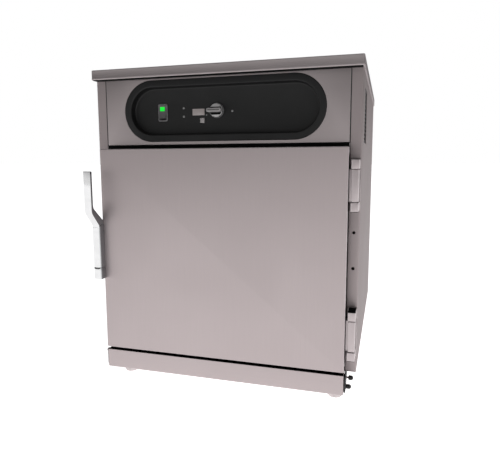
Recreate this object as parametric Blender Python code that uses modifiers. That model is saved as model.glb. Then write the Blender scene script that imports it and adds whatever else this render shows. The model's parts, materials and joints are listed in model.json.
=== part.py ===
# Under-counter food holding cabinet: insulated steel body on four feet, one overlay door on two
# block hinges, lever latch, recessed control panel, drip trough, and a fan-circulated cavity.
# Z is up, the floor is Z = 0, the front faces -Y and the origin is the middle of the footprint.

import math

import bpy
import bmesh
from mathutils import Matrix, Vector

# Overall sizes in metres. Depths are counted back from the front face of the posts.
bodyWidth = 0.686
bodyDepth = 0.776
frontFaceY = -0.350
baseHeight = 0.084
roofHeight = 0.803
capHeight = 0.025
capFront = 0.020
capSide = 0.003
capRear = 0.003
sheet = 0.0015
thinSheet = 0.0012
gap = 0.0003
postWidth = 0.0265

# Door and its opening.
doorWidth = 0.6348
doorBottom = 0.0948
doorTop = 0.6257
doorFront = -0.0395
doorBack = -0.0075
openingWidth = 0.527
openingBottom = 0.131
openingTop = 0.5915
hingeX = 0.332
hingeY = -0.030
hingePinRadius = 0.004
hingeCentres = {"upper": 0.538, "lower": 0.185}
hingeHeight = 0.120
hingeBlockHeight = 0.0193

# Control panel.
panelBottom = 0.636
stadiumHalfLength = 0.2615
stadiumRadius = 0.077
stadiumHeight = 0.721
recessRim = 0.0175
recessDepth = 0.0215
knobX = -0.015
knobHeight = 0.720
rockerX = -0.1638
rockerHeight = 0.719
rockerPivotY = 0.027
rockerTilt = math.radians(8)

# Cavity.
linerHalf = 0.265
linerFront = 0.002
linerBack = 0.703
linerFloor = 0.1297
linerTop = 0.5933
ledgeStart = 0.190
ledgePitch = 0.070
ledgeCount = 6
fanHeight = 0.450

# Latch on the door's free edge.
latchLeft = -0.335
latchRight = -0.313
latchFront = -0.060
latchBottom = 0.290
latchTop = 0.430
latchPivotY = -0.045
latchPivotHeight = 0.412
leverFront = -0.090
leverTop = 0.569

# Drip trough and its brackets.
troughHalf = 0.3165
troughBottom = 0.0385
troughTop = 0.0876
troughScrewY = -0.008
troughScrews = {"upper": (0.072, 0.3262), "lower": (0.049, 0.3217)}

for oldObject in list(bpy.data.objects):
    bpy.data.objects.remove(oldObject)

partCollection = bpy.data.collections.new("food_holding_cabinet")
bpy.context.scene.collection.children.link(partCollection)
cutterCollection = bpy.data.collections.new("cutters")
bpy.context.scene.collection.children.link(cutterCollection)

half = bodyWidth / 2


def makeMaterial(name, colour, metallic, roughness):
    material = bpy.data.materials.new(name)
    material.use_nodes = True
    shader = material.node_tree.nodes["Principled BSDF"]
    shader.inputs["Base Color"].default_value = (*colour, 1)
    shader.inputs["Metallic"].default_value = metallic
    shader.inputs["Roughness"].default_value = roughness
    return material


finishes = {
    "steel": ((0.42, 0.39, 0.39), 0.9, 0.38),
    "steelInner": ((0.50, 0.49, 0.48), 0.9, 0.35),
    "charcoal": ((0.025, 0.025, 0.026), 0.0, 0.55),
    "black": ((0.012, 0.012, 0.012), 0.0, 0.6),
    "rubber": ((0.02, 0.02, 0.02), 0.0, 0.8),
    "chrome": ((0.80, 0.80, 0.82), 1.0, 0.12),
    "grey": ((0.13, 0.13, 0.13), 0.0, 0.45),
    "green": ((0.03, 0.60, 0.10), 0.0, 0.25),
    "screen": ((0.36, 0.30, 0.30), 0.0, 0.2),
    "wool": ((0.55, 0.50, 0.36), 0.0, 0.95),
    "heater": ((0.10, 0.09, 0.08), 0.9, 0.5),
    "cast": ((0.38, 0.36, 0.36), 0.9, 0.4),
}


def finish(target, name, look):
    # every node owns its material, even where two nodes share a finish
    colour, metallic, roughness = finishes[look]
    target.data.materials.clear()
    target.data.materials.append(makeMaterial(name, colour, metallic, roughness))
    return target


def link(target, look):
    # a look of None makes a hidden cutter
    if look is None:
        cutterCollection.objects.link(target)
        target.hide_render = True
        target.display_type = "WIRE"
        return target
    partCollection.objects.link(target)
    return finish(target, target.name, look)


def block(name, look, x, y, z, bevel=0.0, segments=2):
    # box between the given pairs of X, depth behind the front face, and height
    centre = Vector(((x[0] + x[1]) / 2, frontFaceY + (y[0] + y[1]) / 2, (z[0] + z[1]) / 2))
    mesh = bpy.data.meshes.new(name)
    cage = bmesh.new()
    bmesh.ops.create_cube(cage, size=1.0)
    size = Vector((abs(x[1] - x[0]), abs(y[1] - y[0]), abs(z[1] - z[0])))
    bmesh.ops.scale(cage, vec=size, verts=cage.verts)
    cage.to_mesh(mesh)
    cage.free()
    target = bpy.data.objects.new(name, mesh)
    target.location = centre
    link(target, look)
    if bevel > 0:
        rounding = target.modifiers.new("rounded edges", "BEVEL")
        rounding.width = bevel
        rounding.segments = segments
    return target


def cylinder(name, look, radius, start, end, sides=20):
    # cylinder between two points given as X, depth and height
    first = Vector((start[0], frontFaceY + start[1], start[2]))
    last = Vector((end[0], frontFaceY + end[1], end[2]))
    mesh = bpy.data.meshes.new(name)
    cage = bmesh.new()
    bmesh.ops.create_cone(
        cage, cap_ends=True, segments=sides, radius1=radius, radius2=radius, depth=(last - first).length
    )
    cage.to_mesh(mesh)
    cage.free()
    mesh.shade_smooth()
    mesh.set_sharp_from_angle(angle=math.radians(40))
    target = bpy.data.objects.new(name, mesh)
    target.rotation_euler = (last - first).to_track_quat("Z", "Y").to_euler()
    target.location = (first + last) / 2
    return link(target, look)


def meshFromCurve(curveObject, name, look):
    # turns a filled or bevelled curve into a mesh object with welded caps
    bpy.context.scene.collection.objects.link(curveObject)
    bpy.context.view_layer.update()
    evaluated = curveObject.evaluated_get(bpy.context.evaluated_depsgraph_get())
    mesh = bpy.data.meshes.new_from_object(evaluated)
    mesh.name = name
    cage = bmesh.new()
    cage.from_mesh(mesh)
    bmesh.ops.remove_doubles(cage, verts=cage.verts, dist=0.000001)
    bmesh.ops.recalc_face_normals(cage, faces=cage.faces)
    cage.to_mesh(mesh)
    cage.free()
    target = bpy.data.objects.new(name, mesh)
    target.matrix_world = curveObject.matrix_world
    bpy.data.objects.remove(curveObject)
    return link(target, look)


outlineTurns = {
    "plan": Matrix.Identity(3),
    "side": Matrix(((0, 0, 1), (1, 0, 0), (0, 1, 0))),
    "front": Matrix(((1, 0, 0), (0, 0, -1), (0, 1, 0))),
}


def outline(name, look, view, points, extent):
    # flat outline carried along the view's normal: plan outlines are (x, depth) carried up,
    # side outlines are (depth, height) carried along X, front outlines are (x, height) carried back
    middle = (extent[0] + extent[1]) / 2
    offset = {
        "plan": (0, frontFaceY, middle),
        "side": (middle, frontFaceY, 0),
        "front": (0, frontFaceY + middle, 0),
    }[view]
    curve = bpy.data.curves.new(name + " outline", "CURVE")
    curve.dimensions = "2D"
    curve.fill_mode = "BOTH"
    curve.extrude = abs(extent[1] - extent[0]) / 2
    spline = curve.splines.new("POLY")
    spline.points.add(len(points) - 1)
    for spot, (u, v) in zip(spline.points, points):
        spot.co = (u, v, 0, 1)
    spline.use_cyclic_u = True
    curveObject = bpy.data.objects.new(name + " outline", curve)
    curveObject.matrix_world = Matrix.Translation(offset) @ outlineTurns[view].to_4x4()
    return meshFromCurve(curveObject, name, look)


def tube(name, look, points, radius):
    # bent rod through points given as X, depth and height
    curve = bpy.data.curves.new(name + " path", "CURVE")
    curve.dimensions = "3D"
    curve.bevel_depth = radius
    curve.bevel_resolution = 2
    curve.use_fill_caps = True
    spline = curve.splines.new("POLY")
    spline.points.add(len(points) - 1)
    for spot, (x, y, z) in zip(spline.points, points):
        spot.co = (x, frontFaceY + y, z, 1)
    target = meshFromCurve(bpy.data.objects.new(name + " path", curve), name, look)
    target.data.shade_smooth()
    target.data.set_sharp_from_angle(angle=math.radians(50))
    return target


def turned(name, look, profile, spot, facing, steps=24, closed=False):
    # profile of (radius, height) pairs from top to bottom, turned about an axis that points along
    # facing; a closed profile leaves a bore along the axis
    edges = [(i, i + 1) for i in range(len(profile) - 1)]
    if closed:
        edges.append((len(profile) - 1, 0))
    mesh = bpy.data.meshes.new(name)
    mesh.from_pydata([(radius, 0, height) for radius, height in profile], edges, [])
    target = bpy.data.objects.new(name, mesh)
    target.location = (spot[0], frontFaceY + spot[1], spot[2])
    target.rotation_euler = Vector(facing).to_track_quat("Z", "Y").to_euler()
    link(target, look)
    spin = target.modifiers.new("turned", "SCREW")
    spin.steps = steps
    spin.render_steps = steps
    spin.use_merge_vertices = True
    spin.merge_threshold = 0.00005
    spin.use_smooth_shade = False
    return target


def combine(target, operand, operation):
    change = target.modifiers.new(operation.lower(), "BOOLEAN")
    change.operation = operation
    change.object = operand
    return target


def cut(target, *cutters):
    for cutter in cutters:
        combine(target, cutter, "DIFFERENCE")
    return target


def join(target, *additions):
    for addition in additions:
        combine(target, addition, "UNION")
    return target


def blockSet(name, boxes):
    # one hidden cutter made of several separate boxes, each given as X, depth and height pairs
    mesh = bpy.data.meshes.new(name)
    cage = bmesh.new()
    for x, y, z in boxes:
        made = bmesh.ops.create_cube(cage, size=1.0)["verts"]
        size = Vector((abs(x[1] - x[0]), abs(y[1] - y[0]), abs(z[1] - z[0])))
        centre = Vector(((x[0] + x[1]) / 2, frontFaceY + (y[0] + y[1]) / 2, (z[0] + z[1]) / 2))
        bmesh.ops.scale(cage, vec=size, verts=made)
        bmesh.ops.translate(cage, vec=centre, verts=made)
    cage.to_mesh(mesh)
    cage.free()
    return link(bpy.data.objects.new(name, mesh), None)


def stadium(halfLength, radius, height, steps=14):
    # outline of a slot shape with round ends, centred on X = 0
    straight = halfLength - radius
    points = []
    for side in (1, -1):
        for step in range(steps + 1):
            angle = -math.pi / 2 + math.pi * step / steps
            across = straight + radius * math.cos(angle)
            points.append((side * across, height + side * radius * math.sin(angle)))
    return points


def pivot(name, x, y, z, parent=None):
    # empty on a joint's axis, which carries the pieces that move about it
    empty = bpy.data.objects.new(name, None)
    empty.empty_display_size = 0.03
    partCollection.objects.link(empty)
    empty.location = (x, frontFaceY + y, z)
    if parent is not None:
        carry(parent, empty)
    return empty


def placeOf(item):
    # world place of an unturned empty or of a piece that it carries
    place = item.location.copy()
    while item.parent is not None:
        item = item.parent
        place += item.location
    return place


def carry(empty, *items):
    for item in items:
        item.location = item.location - placeOf(empty)
        item.parent = empty


# Cabinet shell.

block("base_plate", "steel", (-half, half), (0, bodyDepth), (baseHeight, baseHeight + sheet))

wallBottom = baseHeight + sheet + gap
wallTop = roofHeight - gap
postEdge = half - postWidth
strikeHoles = (0.340, 0.426)
for sideName, side in (("left", -1), ("right", 1)):
    channel = [
        (postEdge, 0),
        (half, 0),
        (half, bodyDepth),
        (half - 0.018, bodyDepth),
        (half - 0.018, bodyDepth - sheet),
        (half - sheet, bodyDepth - sheet),
        (half - sheet, sheet),
        (postEdge + sheet, sheet),
        (postEdge + sheet, 0.025),
        (postEdge, 0.025),
    ]
    panel = outline(
        f"side_panel_{sideName}",
        "steel",
        "plan",
        [(side * x, y) for x, y in channel],
        (wallBottom, wallTop),
    )
    for number, holeHeight in enumerate(strikeHoles):
        hole = cylinder(
            f"strike hole {sideName} {number}",
            None,
            0.003,
            (side * 0.3297, -0.002, holeHeight),
            (side * 0.3297, 0.004, holeHeight),
            12,
        )
        cut(panel, hole)
    if side == 1:
        ventHole = block("vent hole", None, (0.338, 0.346), (0.092, 0.208), (0.639, 0.775))
        cut(panel, ventHole)

ventBoxes = [
    ((0.338, 0.343), (0.098, 0.202), (0.6440 + 0.0118 * n, 0.6500 + 0.0118 * n)) for n in range(11)
]
cut(
    block("vent_grille", "black", (0.3396, 0.3412), (0.086, 0.214), (0.6360, 0.7780)),
    blockSet("vent slots", ventBoxes),
)

glandX = -0.250
glandHeight = 0.150
cut(
    block(
        "back_panel",
        "steel",
        (-half + 0.0183, half - 0.0183),
        (bodyDepth - sheet, bodyDepth),
        (wallBottom, wallTop),
    ),
    cylinder(
        "gland hole",
        None,
        0.0104,
        (glandX, bodyDepth - 0.006, glandHeight),
        (glandX, bodyDepth + 0.004, glandHeight),
    ),
)
turned(
    "cable_gland",
    "black",
    [
        (0.0070, 0.0140),
        (0.0115, 0.0130),
        (0.0125, 0.0045),
        (0.0140, 0.0043),
        (0.0140, 0.0003),
        (0.0100, 0.0003),
        (0.0100, -0.0120),
        (0.0045, -0.0120),
        (0.0045, 0.0140),
    ],
    (glandX, bodyDepth, glandHeight),
    (0, 1, 0),
    steps=18,
    closed=True,
)

capOuter = block(
    "top_cap",
    "steel",
    (-half - capSide, half + capSide),
    (-capFront, bodyDepth + capRear),
    (roofHeight, roofHeight + capHeight),
    bevel=0.0012,
)
cut(
    capOuter,
    block(
        "cap hollow",
        None,
        (-half - capSide + sheet, half + capSide - sheet),
        (-capFront + sheet, bodyDepth + capRear - sheet),
        (roofHeight + sheet, roofHeight + capHeight - sheet),
    ),
    block(
        "cap underside",
        None,
        (-half + 0.023, half - 0.023),
        (0.020, bodyDepth - 0.020),
        (roofHeight - 0.002, roofHeight + 0.003),
    ),
)

cut(
    block(
        "front_frame",
        "steelInner",
        (-postEdge + gap, postEdge - gap),
        (0, sheet),
        (wallBottom, panelBottom - 0.0005),
    ),
    block(
        "door opening",
        None,
        (-openingWidth / 2, openingWidth / 2),
        (-0.003, 0.005),
        (openingBottom, openingTop),
    ),
)

# Control panel.

fascia = block(
    "control_fascia",
    "steel",
    (-postEdge + 0.001, postEdge - 0.001),
    (0, 0.012),
    (panelBottom, wallTop),
)
cut(
    fascia,
    block(
        "fascia hollow",
        None,
        (-postEdge + 0.001 + sheet, postEdge - 0.001 - sheet),
        (sheet, 0.014),
        (panelBottom + sheet, wallTop - sheet),
    ),
    outline(
        "fascia window",
        None,
        "front",
        stadium(stadiumHalfLength + 0.0004, stadiumRadius + 0.0004, stadiumHeight),
        (-0.003, 0.004),
    ),
)

cupWall = 0.002
recess = outline(
    "control_recess",
    "charcoal",
    "front",
    stadium(stadiumHalfLength, stadiumRadius, stadiumHeight),
    (-0.0008, 0.0022),
)
join(
    recess,
    outline(
        "recess cup",
        None,
        "front",
        stadium(
            stadiumHalfLength - recessRim + cupWall, stadiumRadius - recessRim + cupWall, stadiumHeight
        ),
        (0.001, recessDepth + cupWall),
    ),
)
rockerSleeve = ((rockerX - 0.0112, rockerX + 0.0112), (rockerHeight - 0.0203, rockerHeight + 0.0203))
buttonX = (-0.0607, -0.0477)
buttonZ = (0.6897, 0.7034)
cut(
    recess,
    outline(
        "recess hollow",
        None,
        "front",
        stadium(stadiumHalfLength - recessRim, stadiumRadius - recessRim, stadiumHeight),
        (-0.003, recessDepth),
    ),
    blockSet(
        "recess floor holes",
        [
            (
                (rockerSleeve[0][0] - gap, rockerSleeve[0][1] + gap),
                (0.018, 0.028),
                (rockerSleeve[1][0] - gap, rockerSleeve[1][1] + gap),
            ),
            (
                (buttonX[0] - 0.0004, buttonX[1] + 0.0004),
                (0.018, 0.028),
                (buttonZ[0] - 0.0004, buttonZ[1] + 0.0004),
            ),
        ],
    ),
    cylinder("knob shaft hole", None, 0.0036, (knobX, 0.018, knobHeight), (knobX, 0.028, knobHeight), 16),
)

bezel = block(
    "rocker_bezel",
    "black",
    (rockerX - 0.0132, rockerX + 0.0132),
    (0.0186, recessDepth - gap),
    (rockerHeight - 0.0225, rockerHeight + 0.0225),
    bevel=0.0006,
    segments=1,
)
join(bezel, block("rocker sleeve", None, rockerSleeve[0], (0.0200, 0.0420), rockerSleeve[1]))
cut(
    bezel,
    block(
        "rocker well",
        None,
        (rockerSleeve[0][0] + 0.001, rockerSleeve[0][1] - 0.001),
        (0.010, 0.0400),
        (rockerSleeve[1][0] + 0.0006, rockerSleeve[1][1] - 0.0006),
    ),
)


def tilted(points, tilt):
    # side-view points about the rocker's axle, turned by the tilt, as depth and height
    placed = []
    for u, v in points:
        depth = rockerPivotY + u * math.cos(tilt) - v * math.sin(tilt)
        height = rockerHeight + u * math.sin(tilt) + v * math.cos(tilt)
        placed.append((depth, height))
    return placed


rockerPivot = pivot("rocker_pivot", rockerX, rockerPivotY, rockerHeight)
rockerSide = [
    (-0.0120, 0.0172),
    (-0.0100, 0.0),
    (-0.0120, -0.0172),
    (0.004, -0.0130),
    (0.0075, 0.0),
    (0.004, 0.0130),
]
rocker = outline(
    "power_rocker",
    "grey",
    "side",
    tilted(rockerSide, -rockerTilt),
    (rockerX - 0.0098, rockerX + 0.0098),
)
lensSide = [(-0.0130, 0.0160), (-0.0117, 0.0030), (-0.0108, 0.0030), (-0.0120, 0.0160)]
lens = outline(
    "rocker_lens",
    "green",
    "side",
    tilted([(u - 0.0006, v) for u, v in lensSide], -rockerTilt),
    (rockerX - 0.0079, rockerX + 0.0079),
)
carry(rockerPivot, rocker, lens)

block(
    "display_window",
    "screen",
    (-0.0815, -0.0475),
    (0.0190, recessDepth - gap),
    (0.7083, 0.7267),
    bevel=0.0005,
    segments=1,
)

buttonPivot = pivot(
    "button_guide", (buttonX[0] + buttonX[1]) / 2, recessDepth, (buttonZ[0] + buttonZ[1]) / 2
)
carry(buttonPivot, block("set_button", "grey", buttonX, (0.0170, 0.0280), buttonZ, 0.0008, 2))

knobPivot = pivot("knob_axis", knobX, 0.010, knobHeight)
knob = turned(
    "thermostat_knob",
    "grey",
    [
        (0, 0.0120),
        (0.0150, 0.0120),
        (0.0172, 0.0105),
        (0.0187, 0.0020),
        (0.0187, 0.0010),
        (0.0030, 0.0010),
        (0.0030, -0.0100),
        (0, -0.0100),
    ],
    (knobX, recessDepth, knobHeight),
    (0, -1, 0),
    steps=28,
)
join(
    knob,
    block(
        "knob grip",
        None,
        (knobX - 0.0218, knobX + 0.0172),
        (-0.0020, 0.0120),
        (knobHeight - 0.0056, knobHeight + 0.0056),
        bevel=0.0022,
        segments=2,
    ),
)
carry(knobPivot, knob)

for lampName, lampHeight in (("indicator_lamp_upper", 0.7288), ("indicator_lamp_lower", 0.7076)):
    turned(
        lampName,
        "screen",
        [(0, 0.0018), (0.0014, 0.0016), (0.0023, 0.0008), (0.0024, 0.0003), (0, 0.0003)],
        (-0.1057, recessDepth, lampHeight),
        (0, -1, 0),
        steps=14,
    )

block("bay_floor", "steelInner", (-0.339, 0.339), (0.026, bodyDepth - 0.002), (0.6335, 0.6350))
block("control_box", "black", (-0.200, 0.060), (0.045, 0.105), (0.6353, 0.760), 0.003, 1)

# Cavity.

linerOuter = linerHalf + thinSheet
outline(
    "liner_shell",
    "steelInner",
    "front",
    [
        (-linerOuter, linerFloor + gap),
        (-linerOuter, linerTop + thinSheet),
        (linerOuter, linerTop + thinSheet),
        (linerOuter, linerFloor + gap),
        (linerHalf, linerFloor + gap),
        (linerHalf, linerTop),
        (-linerHalf, linerTop),
        (-linerHalf, linerFloor + gap),
    ],
    (linerFront, linerBack),
)
block(
    "liner_floor",
    "steelInner",
    (-linerOuter, linerOuter),
    (linerFront, linerBack),
    (linerFloor - thinSheet, linerFloor),
)
cut(
    block(
        "liner_back",
        "steelInner",
        (-linerOuter, linerOuter),
        (linerBack + gap, linerBack + gap + thinSheet),
        (linerFloor - thinSheet, linerTop + thinSheet),
    ),
    cylinder("motor shaft hole", None, 0.006, (0, 0.698, fanHeight), (0, 0.710, fanHeight), 16),
)

blanket = 0.030
cut(
    block(
        "insulation_blanket",
        "wool",
        (-linerOuter - 0.001 - blanket, linerOuter + 0.001 + blanket),
        (0.027, linerBack + 0.003 + blanket),
        (linerFloor - 0.0025 - blanket, linerTop + 0.0025 + blanket),
        bevel=0.012,
    ),
    block(
        "blanket hollow",
        None,
        (-linerOuter - 0.001, linerOuter + 0.001),
        (0.020, linerBack + 0.003),
        (linerFloor - 0.0025, linerTop + 0.0025),
    ),
    cylinder("motor hole", None, 0.044, (0, 0.695, fanHeight), (0, 0.745, fanHeight), 24),
)

for sideName, side in (("left", -1), ("right", 1)):
    comb = [(0.2640, 0.1310), (0.2640, 0.5850), (0.2625, 0.5850)]
    for level in reversed(range(ledgeCount)):
        height = ledgeStart + ledgePitch * level
        comb += [
            (0.2625, height),
            (0.2405, height),
            (0.2405, height - sheet),
            (0.2625, height - sheet),
        ]
    comb.append((0.2625, 0.1310))
    outline(f"rack_{sideName}", "steelInner", "front", [(side * x, z) for x, z in comb], (0.040, 0.655))

for shelfName, level in (("shelf_lower", 1), ("shelf_upper", 3)):
    shelfBottom = ledgeStart + ledgePitch * level + gap
    slotHeight = (shelfBottom - 0.002, shelfBottom + 0.007)
    slots = []
    for column in range(9):
        left = -0.234 + 0.0525 * column
        for front in (0.060, 0.355):
            slots.append(((left, left + 0.0475), (front, front + 0.280), slotHeight))
    cut(
        block(shelfName, "chrome", (-0.2615, 0.2615), (0.045, 0.650), (shelfBottom, shelfBottom + 0.004)),
        blockSet(f"{shelfName} slots", slots),
    )


def filleted(points, radius, steps=5):
    # replaces each inner corner of a path by an arc that starts radius before it
    path = [Vector(points[0])]
    for before, corner, after in zip(points, points[1:], points[2:]):
        corner = Vector(corner)
        start = corner + (Vector(before) - corner).normalized() * radius
        end = corner + (Vector(after) - corner).normalized() * radius
        for step in range(steps + 1):
            share = step / steps
            path.append(start * (1 - share) ** 2 + corner * 2 * share * (1 - share) + end * share**2)
    path.append(Vector(points[-1]))
    return path


heaterHeight = 0.146
tube(
    "heating_element",
    "heater",
    filleted(
        [
            (-0.050, 0.7025, heaterHeight),
            (-0.050, 0.630, heaterHeight),
            (-0.190, 0.630, heaterHeight),
            (-0.190, 0.130, heaterHeight),
            (-0.065, 0.130, heaterHeight),
            (-0.065, 0.520, heaterHeight),
            (0.065, 0.520, heaterHeight),
            (0.065, 0.130, heaterHeight),
            (0.190, 0.130, heaterHeight),
            (0.190, 0.630, heaterHeight),
            (0.050, 0.630, heaterHeight),
            (0.050, 0.7025, heaterHeight),
        ],
        0.035,
    ),
    0.004,
)

turned(
    "fan_motor",
    "cast",
    [(0, 0.061), (0.032, 0.061), (0.040, 0.055), (0.040, 0.006), (0.034, 0), (0, 0)],
    (0, 0.7095, fanHeight),
    (0, 1, 0),
    steps=20,
)

impellerPivot = pivot("impeller_axis", 0, 0.690, fanHeight)
impeller = turned(
    "fan_impeller",
    "steelInner",
    [
        (0, 0.0240),
        (0.0120, 0.0240),
        (0.0150, 0.0210),
        (0.0150, 0.0020),
        (0.0600, 0.0020),
        (0.0600, 0),
        (0.0040, 0),
        (0.0040, -0.0080),
        (0, -0.0080),
    ],
    (0, 0.700, fanHeight),
    (0, -1, 0),
    steps=32,
)
bladeCage = bmesh.new()
bladeCount = 8
for number in range(bladeCount):
    blade = bmesh.ops.create_cube(bladeCage, size=1.0)["verts"]
    bmesh.ops.scale(bladeCage, vec=(0.044, 0.022, 0.0016), verts=blade)
    bmesh.ops.translate(bladeCage, vec=(0.0345, 0, 0), verts=blade)
    turn = Matrix.Rotation(2 * math.pi * number / bladeCount, 3, "Y")
    bmesh.ops.rotate(bladeCage, cent=(0, 0, 0), matrix=turn, verts=blade)
bladeMesh = bpy.data.meshes.new("impeller blades")
bladeCage.to_mesh(bladeMesh)
bladeCage.free()
blades = bpy.data.objects.new("impeller blades", bladeMesh)
blades.location = (0, frontFaceY + 0.6878, fanHeight)
join(impeller, link(blades, None))
carry(impellerPivot, impeller)

guardSlots = [
    ((-0.070, 0.070), (0.660, 0.670), (fanHeight - 0.066 + 0.015 * n, fanHeight - 0.057 + 0.015 * n))
    for n in range(9)
]
cut(
    block(
        "fan_guard",
        "steelInner",
        (-0.100, 0.100),
        (0.6640, linerBack - gap),
        (fanHeight - 0.100, fanHeight + 0.100),
    ),
    block(
        "guard hollow",
        None,
        (-0.100 + thinSheet, 0.100 - thinSheet),
        (0.6652, 0.710),
        (fanHeight - 0.100 + thinSheet, fanHeight + 0.100 - thinSheet),
    ),
    blockSet("guard slots", guardSlots),
)

# Feet.

for footName, footX, footY in (
    ("foot_front_left", -0.290, 0.039),
    ("foot_front_right", 0.290, 0.039),
    ("foot_rear_left", -0.290, bodyDepth - 0.039),
    ("foot_rear_right", 0.290, bodyDepth - 0.039),
):
    turned(
        footName,
        "cast",
        [
            (0, baseHeight - gap),
            (0.0195, baseHeight - gap),
            (0.0195, 0.0150),
            (0.0148, 0.0030),
            (0.0130, 0),
            (0, 0),
        ],
        (footX, footY, 0),
        (0, 0, 1),
        steps=24,
    )

# Door.

doorHalf = doorWidth / 2
doorPivot = pivot("door_hinge_axis", hingeX, hingeY, (doorBottom + doorTop) / 2)

skinBack = doorFront + 0.0026
skin = block(
    "door_skin",
    "steel",
    (-doorHalf, doorHalf),
    (doorFront, skinBack),
    (doorBottom, doorTop),
    bevel=0.0008,
)
cut(
    skin,
    block(
        "skin hollow",
        None,
        (-doorHalf + thinSheet, doorHalf - thinSheet),
        (doorFront + thinSheet, skinBack + 0.002),
        (doorBottom + thinSheet, doorTop - thinSheet),
    ),
)

edgeBack = doorBack - 0.0015
edgeFrame = block(
    "door_edge_frame",
    "black",
    (-doorHalf + 0.0002, doorHalf - 0.0002),
    (skinBack + gap, edgeBack),
    (doorBottom + 0.0002, doorTop - 0.0002),
)
cut(
    edgeFrame,
    block(
        "edge frame hollow",
        None,
        (-doorHalf + 0.017, doorHalf - 0.017),
        (skinBack - 0.002, edgeBack + 0.002),
        (doorBottom + 0.017, doorTop - 0.017),
    ),
)

doorFill = block(
    "door_insulation",
    "wool",
    (-doorHalf + 0.0175, doorHalf - 0.0175),
    (doorFront + thinSheet + gap, edgeBack),
    (doorBottom + 0.0175, doorTop - 0.0175),
)

innerPanel = block(
    "door_inner_panel",
    "steelInner",
    (-doorHalf + 0.001, doorHalf - 0.001),
    (edgeBack + gap, doorBack),
    (doorBottom + 0.001, doorTop - 0.001),
)

gasket = block(
    "door_gasket",
    "rubber",
    (-0.300, 0.300),
    (doorBack + gap, -0.0005),
    (0.1120, 0.6085),
    bevel=0.0015,
    segments=1,
)
cut(
    gasket,
    block("gasket hollow", None, (-0.284, 0.284), (doorBack - 0.002, 0.002), (0.1280, 0.5925)),
)
carry(doorPivot, skin, edgeFrame, doorFill, innerPanel, gasket)

# Hinges.

for hingeName, hingeMiddle in hingeCentres.items():
    low = hingeMiddle - hingeHeight / 2
    high = hingeMiddle + hingeHeight / 2
    leafBlocks = [
        ((hingeX - 0.009, hingeX + 0.009), (doorFront, -0.0015), (low, low + hingeBlockHeight)),
        ((hingeX - 0.009, hingeX + 0.009), (doorFront, -0.0015), (high - hingeBlockHeight, high)),
    ]
    frameLeaf = block(
        f"hinge_{hingeName}_frame_leaf", "cast", (0.3195, 0.3425), (-0.0033, -gap), (low, high)
    )
    join(frameLeaf, blockSet(f"hinge {hingeName} knuckles", leafBlocks))
    cut(
        frameLeaf,
        cylinder(
            f"hinge {hingeName} frame bore",
            None,
            hingePinRadius + gap,
            (hingeX, hingeY, low + 0.0015),
            (hingeX, hingeY, high - 0.0015),
            20,
        ),
    )
    cylinder(
        f"hinge_{hingeName}_pin",
        "chrome",
        hingePinRadius,
        (hingeX, hingeY, low + 0.0020),
        (hingeX, hingeY, high - 0.0020),
        20,
    )
    barrelZ = (low + hingeBlockHeight + 0.004, high - hingeBlockHeight - 0.004)
    doorLeaf = block(
        f"hinge_{hingeName}_door_leaf",
        "cast",
        (hingeX - 0.0075, hingeX + 0.0085),
        (doorFront + 0.0005, -0.0210),
        barrelZ,
    )
    join(
        doorLeaf,
        block(
            f"hinge {hingeName} door plate",
            None,
            (doorHalf + gap, hingeX - 0.0070),
            (doorFront + 0.0005, -0.0060),
            barrelZ,
        ),
    )
    cut(
        doorLeaf,
        cylinder(
            f"hinge {hingeName} door bore",
            None,
            hingePinRadius + gap,
            (hingeX, hingeY, barrelZ[0] - 0.002),
            (hingeX, hingeY, barrelZ[1] + 0.002),
            20,
        ),
    )
    carry(doorPivot, doorLeaf)

# Latch.

block("latch_strike", "chrome", (-0.3415, -0.3185), (-0.0033, -gap), (0.328, 0.438), 0.0008, 1)

edgeSide = -doorHalf - gap
housing = block(
    "latch_housing",
    "chrome",
    (latchLeft, latchRight),
    (latchFront, doorFront - gap),
    (latchBottom + 0.0273, latchTop),
)
join(
    housing,
    block(
        "latch body",
        None,
        (latchLeft, edgeSide),
        (doorFront - 0.006, -0.0060),
        (latchBottom + 0.0273, latchTop - 0.010),
    ),
)
cut(
    housing,
    block(
        "lever slot",
        None,
        (-0.3300, -0.3180),
        (latchFront - 0.002, -0.0300),
        (0.3900, latchTop + 0.002),
    ),
    block("magnet pocket", None, (-0.3320, -0.3200), (-0.0240, -0.0040), (0.3300, 0.3850)),
    cylinder(
        "latch pin hole",
        None,
        0.0033,
        (latchLeft - 0.002, latchPivotY, latchPivotHeight),
        (latchRight + 0.002, latchPivotY, latchPivotHeight),
        16,
    ),
)
endCap = block(
    "latch_end_cap",
    "chrome",
    (latchLeft, latchRight),
    (latchFront, doorFront - gap),
    (latchBottom, latchBottom + 0.0270),
    bevel=0.001,
    segments=1,
)
latchPin = cylinder(
    "latch_pin",
    "chrome",
    0.003,
    (latchLeft + 0.0002, latchPivotY, latchPivotHeight),
    (latchRight - 0.0002, latchPivotY, latchPivotHeight),
    16,
)
carry(doorPivot, housing, endCap, latchPin)

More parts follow.
